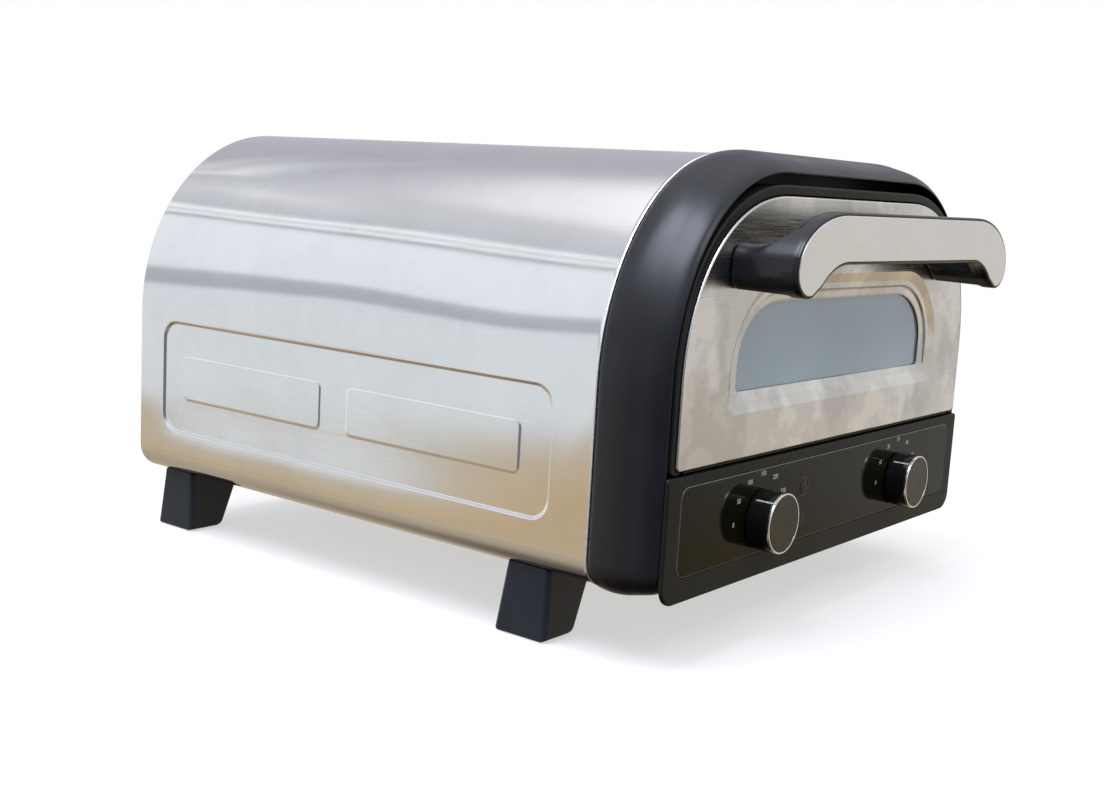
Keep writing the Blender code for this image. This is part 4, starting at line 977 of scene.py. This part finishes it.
def make_dials():
    """Printed numbers round each knob: degrees on the left, minutes on the right."""
    for name, middle, interval in (("thermostat", -KNOB_X, 50), ("timer", KNOB_X, 10)):
        inks = []
        for index in range(NUMBERS):
            angle = radians(FIRST_NUMBER_ANGLE - NUMBER_SPACING * index)
            across = middle + NUMBER_RADII[0] * cos(angle)
            up = KNOB_Z + NUMBER_RADII[1] * sin(angle)
            inks.append(make_number(name, str(interval * index), across, up, NUMBER_HEIGHT))
        make_piece(name + "_scale", join(inks), "mark", "oven", sharp=20)


def make_lamps():
    for name in LAMPS:
        centre, radius = lamp_place(name)
        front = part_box(name)[0].y - FACE_Y
        profile = [(0, front), (radius * 0.4, front + 0.00004), (radius * 0.75, -0.0005),
                   (radius * 0.93, -0.0003), (radius, 0.0000), (radius, 0.0055), (radius * 0.6, 0.0055),
                   (radius * 0.6, 0.0075), (0, 0.0075)]
        make_piece(name + "_lens", turned(profile, "Y", centre, 64), "lens", "oven", [name],
                   sharp=50)
        collar = ring(radius + 0.0003, radius + 0.0006, -0.0004, 0.0004, "Y", centre)
        make_piece(name + "_collar", collar, "collar", "oven")


def make_knobs():
    for side, name, body in ((-1, "thermostat_knob", "thermostat_dial"), (1, "timer_knob", "timer_dial")):
        cap_low, cap_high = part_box(name + "_cap")
        centre = (side * KNOB_X, 0, KNOB_Z)
        front, rear, radius = knob_low.y, knob_high.y, (knob_high.x - knob_low.x) / 2
        profile = [(0, front), (radius - 0.0004, front), (radius - 0.0001, front + 0.0001),
                   (radius, front + 0.0004), (radius, rear - 0.0014), (radius - 0.0002, rear - 0.0006),
                   (radius - 0.0008, rear - 0.0001), (radius - 0.0014, rear), (0.0165, rear),
                   (0.0165, rear - 0.004), (0.0080, rear - 0.004), (0.0080, rear), (0.0031, rear),
                   (0.0031, rear - 0.010), (0, rear - 0.010)]
        angle = radians(POINTER_ANGLE)
        groove = block((radius - 0.0004, front - 0.001, -0.0007), (radius + 0.001, rear - 0.0030, 0.0007))
        pointer = block((radius - 0.0005, front + 0.0004, -0.00055),
                        (radius - 0.00005, rear - 0.0031, 0.00055))
        for shape in (groove, pointer):
            shape.transform(Matrix.Translation(centre) @ Matrix.Rotation(-angle, 4, "Y"))
        make_piece(name + "_grip", turned(profile, "Y", centre, 144), "knob_black", body,
                   [name], cuts=[groove])
        make_piece(name + "_pointer", pointer, "mark", body, bevel=0.00012)
        lip = cap_low.y
        rim = [(radius - 0.0011, lip + 0.0006), (radius - 0.0010, lip + 0.0001), (radius - 0.0006, lip),
               (radius - 0.0002, lip + 0.0001), (radius, lip + 0.0004), (radius, cap_high.y),
               (radius - 0.0011, cap_high.y)]
        make_piece(name + "_rim", turned(rim, "Y", centre, 144, closed=True), "bright", body,
                   [name + "_cap"], sharp=40)
        face = [(0, lip + 0.00045), (0.0006, lip + 0.00042), (0.010, lip + 0.00034),
                (radius - 0.00115, lip + 0.0003), (radius - 0.00115, cap_high.y), (0, cap_high.y)]
        make_piece(name + "_face", turned(face, "Y", centre, 144), "cap_face", body, sharp=50)


# ---- door ------------------------------------------------------------
WINDOW = (0.148, 0.2305, 0.148)         # half width, top and bottom of the stamped surround
WINDOW_DEPTH = 0.0056
WINDOW_INSET = (0.0180, 0.0168, 0.0125)  # how far in the surround reaches: sides, top and bottom
SILL_RISE = 0.014
# Section of the surround: shares of its depth, and of its inset.
WINDOW_STEPS = ((0.00, 0.00), (0.04, 0.05), (0.45, 0.35), (0.50, 0.41), (0.53, 0.57), (0.58, 0.61),
                (0.80, 0.67), (0.86, 0.72), (0.90, 0.90), (0.94, 0.96), (1.00, 1.00))
SEAL = (0.1800, 0.2740, 0.1320)         # half width, top and bottom of the seal's middle line
HANDLE_SCREWS = (0.142, 0.2350)


def door_arch(side, top, bottom, corner=0.004):
    return arch(side, top, bottom, corner, 2.2, 8, 48)


def window(share):
    side = WINDOW[0] - WINDOW_INSET[0] * share
    top = WINDOW[1] - WINDOW_INSET[1] * share
    bottom = WINDOW[2] + WINDOW_INSET[2] * share
    corner = (0.060 - 0.014 * share, 0.062 - 0.026 * share)
    foot = 0.010 - 0.007 * share
    half = arc((side - foot, bottom + foot), (foot, foot), -90, 0, 8)
    half += arc((side - corner[0], top - corner[1]), corner, 0, 90, 32)
    return mirrored(half)


def hinge_notches():
    cuts = []
    for name in ("left", "right"):
        middle = middle_of("hinge_arm_" + name)[0]
        half = 0.0025 / 2 + 0.0008
        cuts.append(block((middle - half, SEAM_Y - 0.0484, 0.1160), (middle + half, SEAM_Y - 0.0150, 0.1287)))
    return cuts


def handle_bores():
    return [rod(0.0024, "Y", (side * HANDLE_SCREWS[0], FACE_Y, HANDLE_SCREWS[1]), -0.015, 0.005, 32)
            for side in (-1, 1)]


def make_door_plate():
    sheet = bmesh.new()

    def edge_loop(depth, inset):
        outline = door_arch(plate_high.x - inset, plate_high.z - inset, plate_low.z + inset)
        return [sheet.verts.new(point) for point in at_y(FACE_Y + depth, outline)]

    edges = [edge_loop(0.0045, 0)] + [edge_loop(depth, inset) for depth, inset in fillet(0.0012)]
    steps = []
    for depth, share in smooth_through(WINDOW_STEPS, 3):
        ring_points = []
        for across, up in window(share):
            sill = min(1, max(0, 1 - (up - WINDOW[2] - WINDOW_INSET[2] * share) / SILL_RISE))
            ring_points.append((across, FACE_Y + WINDOW_DEPTH * (depth + (share - depth) * sill), up))
        steps.append([sheet.verts.new(point) for point in ring_points])
    for outer, inner in zip(edges, edges[1:]):
        step_between(sheet, outer, inner)
    fill_between(sheet, [edges[-1], steps[0]])
    for outer, inner in zip(steps, steps[1:]):
        step_between(sheet, outer, inner)
    face_towards(sheet, (0, -1, 0))
    make_piece("door_skin", sheet, "door", "door", ["door_plate"], sharp=60, thickness=0.0010,
               cuts=handle_bores() + hinge_notches())


def make_door_frame():
    section = [(-0.0474, 0.0037, 0.0014), (-0.0474, 0.0010, 0.0004), (-0.0472, 0.0004, 0.0002),
               (-0.0466, 0.0000, 0.0000), (-0.0230, 0.0000, 0.0000), (-0.0220, 0.0004, 0.0002),
               (-0.0212, 0.0015, 0.0006), (-0.0212, 0.0080, 0.0160), (-0.0230, 0.0080, 0.0160),
               (-0.0230, 0.0020, 0.0012), (-0.0430, 0.0020, 0.0012), (-0.0430, 0.0037, 0.0014)]
    rings = []
    for depth, inset, lower_inset in section:
        outline = door_arch(door_high.x - inset, door_high.z - inset * 1.5, door_low.z + lower_inset)
        rings.append(at_y(SEAM_Y + depth, outline))
    make_piece("door_surround", loft(rings, closed=True), "fascia", "door", ["door_frame"],
               cuts=hinge_notches())


def make_door_tray():
    """Inner tray with a pressed bead round its window."""
    low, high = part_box("door_inner_panel")
    opening = loft([at_y(low.y - 0.01, window(0.85)), at_y(high.y + 0.01, window(0.85))])
    side = high.x
    rings = [at_y(low.y, door_arch(side, high.z, low.z))]
    for depth, inset in fillet(0.0008, 3):
        rings.append(at_y(high.y - depth, door_arch(side - inset, high.z - inset, low.z + inset)))
    make_piece("door_tray", loft(rings), "liner", "door", ["door_inner_panel"],
               cuts=[opening] + hinge_notches())
    bead = []
    for step in range(12):
        angle = 2 * pi * step / 12
        bead.append(at_y(high.y + 0.0003 + 0.0007 * sin(angle), window(0.62 + 0.10 * cos(angle))))
    make_piece("door_tray_bead", loft(bead, closed=True), "liner", "door", sharp=80)


def make_panes():
    for node, name in (("window_glass", "outer_pane"), ("inner_window_glass", "inner_pane")):
        low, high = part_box(node)
        rings = []
        for depth, inset in ((low.y, 0.0004), (low.y + 0.0004, 0), (high.y - 0.0004, 0), (high.y, 0.0004)):
            rings.append(at_y(depth, front_outline((low, high), inset, 0.004, 0.030, 16)))
        make_piece(name, loft(rings), "pane", "door", [node])


def make_seal():
    middle = middle_of("door_seal")[1]
    rings = []
    for step in range(16):
        angle = 2 * pi * step / 16
        across = 0.0022 * cos(angle)
        outline = arch(SEAL[0] + across, SEAL[1] + across, SEAL[2] - across, 0.010)
        rings.append(at_y(middle + 0.0021 * sin(angle), outline))
    make_piece("door_gasket", loft(rings, closed=True), "rubber", "door", ["door_seal"], sharp=80)


def make_hinge_pin():
    low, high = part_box("hinge_rod")
    centre = (0, *middle_of("hinge_rod")[1:])
    radius, half = (high.z - low.z) / 2, high.x
    profile = [(0, -half), (radius - 0.0003, -half), (radius, 0.0003 - half), (radius, half - 0.0003),
               (radius - 0.0003, half), (0, half)]
    make_piece("hinge_pin", turned(profile, "X", centre, 40), "bright", "door", ["hinge_rod"])


# ---- handle ----------------------------------------------------------
HANDLE_HALF = handle_high.x
HANDLE_TOP = handle_high.z
CURL = 0.0474               # radius of the bar's lower edge where it turns down
TIP = 0.0143                # radius of its ends
TIP_Z = 0.2370
BAR_BACK = SEAM_Y - 0.0785
ARM_STEPS = 32


def handle_outline(grow):
    """Front view of the handle: a bar whose ends curve down; grow widens it all round."""
    curl, tip = CURL - grow, TIP + grow
    half = arc((0.095, 0.2417 - CURL), (curl, curl), 90, 47, 16)
    half += arc((HANDLE_HALF - TIP, TIP_Z), (tip, tip), -105, 0, 24)
    half += arc((0.100, TIP_Z), (HANDLE_HALF - 0.100 + grow, HANDLE_TOP - TIP_Z + grow), 12, 90, 36)
    return mirrored(half)


def make_handle():
    """Steel face plate in the rim of a moulded bar that sweeps back to the door at both ends."""
    front, back = handle_low.y, handle_high.y
    rings = [at_y(back, handle_outline(0))]
    rings += [at_y(front + depth, handle_outline(-inset)) for depth, inset in fillet(0.0006, 4)]
    make_piece("grip_face", loft(rings), "handle_steel", "door", ["handle_plate"], sharp=50)
    rings = [at_y(back + 0.0003, handle_outline(0.0012)), at_y(back + 0.0024, handle_outline(0.0018)),
             at_y(BAR_BACK - 0.006, handle_outline(0.0018)), at_y(BAR_BACK - 0.002, handle_outline(0.0004)),
             at_y(BAR_BACK, handle_outline(-0.0026))]
    item = new_object("grip", loft(rings))
    arms = []
    for side in (-1, 1):
        rings = []
        for step in range(ARM_STEPS + 1):
            share = step / ARM_STEPS
            depth = BAR_BACK - 0.012 + (FACE_Y - GAP - BAR_BACK + 0.012) * share
            sweep = (1 - share) ** 2.4
            top = 0.2480 + 0.0190 * sweep + 0.0018 * share ** 3
            outer = HANDLE_HALF + 0.0016 - 0.0020 * share
            inner = HANDLE_HALF - 0.0330 - 0.0100 * share ** 2
            bottom = 0.2222 + 0.0010 * share
            shape = rounded_box(inner, outer, bottom, top, 0.0120 - 0.0055 * share, 0.0095, 8)
            rings.append([(side * across, depth, up) for across, up in shape])
        arms.append(loft(rings))
    combine(item, arms, "UNION")
    combine(item, [loft([at_y(depth, handle_outline(0.0017)) for depth in (-0.30, -0.20)])], "INTERSECT")
    soften(item, 0.0009, 7)
    combine(item, handle_bores() + [block((-0.2, FACE_Y - GAP, 0.2), (0.2, FACE_Y + 0.02, 0.3))])
    finish_piece(item, "handle_black", "door", ["handle_body"], sharp=60)
    inside = [(back + 0.0010, 0.0002), (front + 0.0006, 0.0002)]
    outside = [(front + 0.0004, 0.0004), (front + 0.0003, 0.0008), (front + 0.0005, 0.0013),
               (front + 0.0010, 0.0016), (back + 0.0010, 0.0017)]
    rings = [at_y(depth, handle_outline(grow)) for depth, grow in inside + outside]
    make_piece("grip_rim", loft(rings, closed=True), "handle_black", "door", sharp=50)


# ---- stage -----------------------------------------------------------
class Surround(NodeGraph):
    """World shader: a colour for each direction, built up from bands and patches."""

    def __init__(self):
        self.world = bpy.data.worlds.new("studio")
        bpy.context.scene.world = self.world
        self.world.use_nodes = True
        self.nodes = self.world.node_tree.nodes
        self.links = self.world.node_tree.links
        self.direction = self.nodes.new("ShaderNodeTexCoord").outputs["Generated"]
        self.up = self.add("SeparateXYZ", "Z", {"Vector": self.direction})

    def ramp(self, value, low, high):
        return self.add("MapRange", "Result", {"Value": value, "From Min": low, "From Max": high},
                        interpolation_type="SMOOTHSTEP")

    def along(self, azimuth):
        """How far a direction points to a compass side; 0 is the back and 90 the right."""
        side = (sin(radians(azimuth)), cos(radians(azimuth)), 0)
        return self.add("VectorMath", "Value", {0: self.direction, 1: side}, operation="DOT_PRODUCT")

    def product(self, first, second):
        return self.add("Math", "Value", {0: first, 1: second}, operation="MULTIPLY")

    def patch(self, azimuth, low, high, *heights):
        """Mask of a compass side, faded between each pair of heights (sines of the elevation)."""
        mask = self.ramp(self.along(azimuth), low, high)
        for start, end in heights:
            mask = self.product(mask, self.ramp(self.up, start, end))
        return mask

    def blend(self, first, second, share):
        return self.add("Mix", "Result", {"A": first, "B": (*second, 1), "Factor": share}, data_type="RGBA")


FLOOR_RADIUS = 30
FLOOR_DROP = 0.0002         # keeps the floor clear of the feet
FLOOR_FADE = (0.28, 0.72)   # from the middle out, where the floor turns from lit to plain white
FLOOR_GLOW = (0.55, 1.0)
WOBBLE_SCALE = 2.2
WOBBLE = 0.11               # how much the bands' edges waver
SLANT = 0.42                # how steeply the bands tilt at the back left

# Sine of the elevation, and the colour that the surround has there.
BANDS = ((-1.00, (0.03, 0.03, 0.02)), (-0.86, (0.08, 0.06, 0.05)), (-0.66, (0.46, 0.38, 0.28)),
         (-0.38, (0.60, 0.50, 0.36)), (-0.270, (0.64, 0.48, 0.29)), (-0.240, (0.66, 0.52, 0.34)),
         (-0.204, (0.64, 0.54, 0.40)), (-0.190, (0.66, 0.61, 0.53)), (-0.180, (0.86, 0.90, 0.92)),
         (0.062, (0.86, 0.91, 0.94)), (0.084, (0.52, 0.55, 0.58)), (0.174, (0.56, 0.60, 0.63)),
         (0.204, (0.98, 1.02, 1.06)),
         (0.530, (1.02, 1.06, 1.10)), (0.566, (0.98, 1.02, 1.06)), (0.573, (0.42, 0.44, 0.47)),
         (0.586, (0.46, 0.48, 0.51)), (0.592, (1.20, 1.22, 1.25)), (0.608, (1.20, 1.22, 1.25)),
         (0.614, (0.58, 0.60, 0.63)), (0.622, (0.60, 0.62, 0.65)), (0.628, (1.25, 1.27, 1.30)),
         (0.642, (1.20, 1.22, 1.25)), (0.660, (0.66, 0.68, 0.72)), (0.710, (0.74, 0.75, 0.79)),
         (0.745, (0.80, 0.80, 0.84)), (0.800, (1.25, 1.25, 1.30)), (1.00, (1.00, 1.00, 1.05)))


def make_world():
    """White to the camera; a soft studio, banded like a pale room, to everything else."""
    room = Surround()
    wobble = room.add("TexNoise", "Fac", {"Vector": room.direction, "Scale": WOBBLE_SCALE, "Detail": 1.5})
    centred = room.add("Math", "Value", {0: wobble, 1: 0.5}, operation="SUBTRACT")
    slanted = room.patch(-46, 0.50, 0.68, (-0.04, 0.08), (0.74, 0.62))
    slant = room.product(room.product(slanted, SLANT), room.along(55))
    level = room.add("Math", "Value", {0: room.up, 1: slant}, operation="ADD")
    level = room.add("Math", "Value", {0: level, 1: room.product(centred, WOBBLE)}, operation="ADD")
    share = room.add("Math", "Value", {0: level, 1: 0.5, 2: 0.5}, operation="MULTIPLY_ADD")
    ramp = room.nodes.new("ShaderNodeValToRGB")
    room.links.new(share, ramp.inputs["Fac"])
    while len(ramp.color_ramp.elements) < len(BANDS):
        ramp.color_ramp.elements.new(0.5)
    for element, (height, colour) in zip(ramp.color_ramp.elements, BANDS):
        element.position = (height + 1) / 2
        element.color = (*colour, 1)
    back_right = room.patch(45, 0.45, 0.80, (-0.02, 0.05))
    behind = room.patch(5, 0.82, 0.95, (-0.45, -0.30), (0.3, 0.1))
    low_front_right = room.patch(118, 0.55, 0.80, (-0.26, -0.17), (0.45, 0.10))
    low_front_left = room.patch(-128, 0.45, 0.85, (0.55, 0.15))
    camera_rays = room.nodes.new("ShaderNodeLightPath").outputs["Is Camera Ray"]
    colour = ramp.outputs["Color"]
    for mask, other in ((back_right, (0.55, 0.54, 0.59)), (behind, (1.1, 1.1, 1.1)),
                        (low_front_right, (0.74, 0.715, 0.68)), (low_front_left, (0.20, 0.21, 0.25)),
                        (camera_rays, (1.0, 1.0, 1.0))):
        colour = room.blend(colour, other, mask)
    room.links.new(colour, room.nodes["Background"].inputs["Color"])


def make_floor():
    """Pale table: lit and shaded close to the oven, plain white further out."""
    solid = bmesh.new()
    bmesh.ops.create_circle(solid, cap_ends=True, segments=64, radius=FLOOR_RADIUS)
    floor = new_object("floor", solid)
    finish = Finish("floor_white", (0.95, 0.95, 0.95), 0.6)
    finish.vary_roughness(finish.noise(2), 0.55, 0.65)
    away = finish.add("VectorMath", "Value", {0: finish.place}, operation="LENGTH")
    inputs = {"Value": away, "From Min": FLOOR_FADE[0], "From Max": FLOOR_FADE[1],
              "To Min": FLOOR_GLOW[0], "To Max": FLOOR_GLOW[1]}
    fade = finish.add("MapRange", "Result", inputs, interpolation_type="SMOOTHSTEP")
    glow = finish.add("Emission", "Emission", {})
    both = finish.add("MixShader", "Shader", {"Fac": fade, 1: finish.shader.outputs["BSDF"], 2: glow})
    finish.links.new(both, finish.nodes["Material Output"].inputs["Surface"])
    floor.data.materials.append(finish.material)
    floor.location.z = -FLOOR_DROP
    floor.visible_glossy = False
    floor.visible_diffuse = False


def make_light(name, place, aim, size, power, colour=(1, 1, 1), mirrored_too=True):
    data = bpy.data.lights.new(name, "AREA")
    data.shape = "RECTANGLE"
    data.size, data.size_y = size
    data.energy = power
    data.color = colour
    light = bpy.data.objects.new(name, data)
    light.location = place
    light.rotation_euler = (Vector(aim) - Vector(place)).to_track_quat("-Z", "Y").to_euler()
    light.visible_glossy = mirrored_too
    bpy.context.scene.collection.objects.link(light)


def make_lights():
    middle = (0, -0.1, 0.2)
    make_light("key_light", (-1.02, 0.05, 1.95), (-0.15, -0.18, 0.27), (1.2, 1.2), 48, (0.80, 0.83, 1.0))
    make_light("front_light", (-0.45, -1.64, 1.94), middle, (0.9, 0.7), 9, (0.93, 0.94, 1.0))
    make_light("top_light", (0.3, 0.5, 2.6), middle, (2.4, 2.4), 14, (1, 1, 1), False)


def main():
    bpy.context.scene.view_settings.view_transform = "Standard"
    make_camera()
    paint_cad_nodes()
    make_shell()
    make_rear_panel()
    make_rear_fittings()
    make_base()
    make_feet()
    make_bezel()
    for name in ("upper", "lower"):
        make_element(name)
    make_liner()
    make_stone()
    make_fascia()
    make_control_pane()
    make_dials()
    make_lamps()
    make_knobs()
    make_door_plate()
    make_door_frame()
    make_door_tray()
    make_panes()
    make_seal()
    make_hinge_pin()
    make_handle()
    make_world()
    make_floor()
    make_lights()


main()
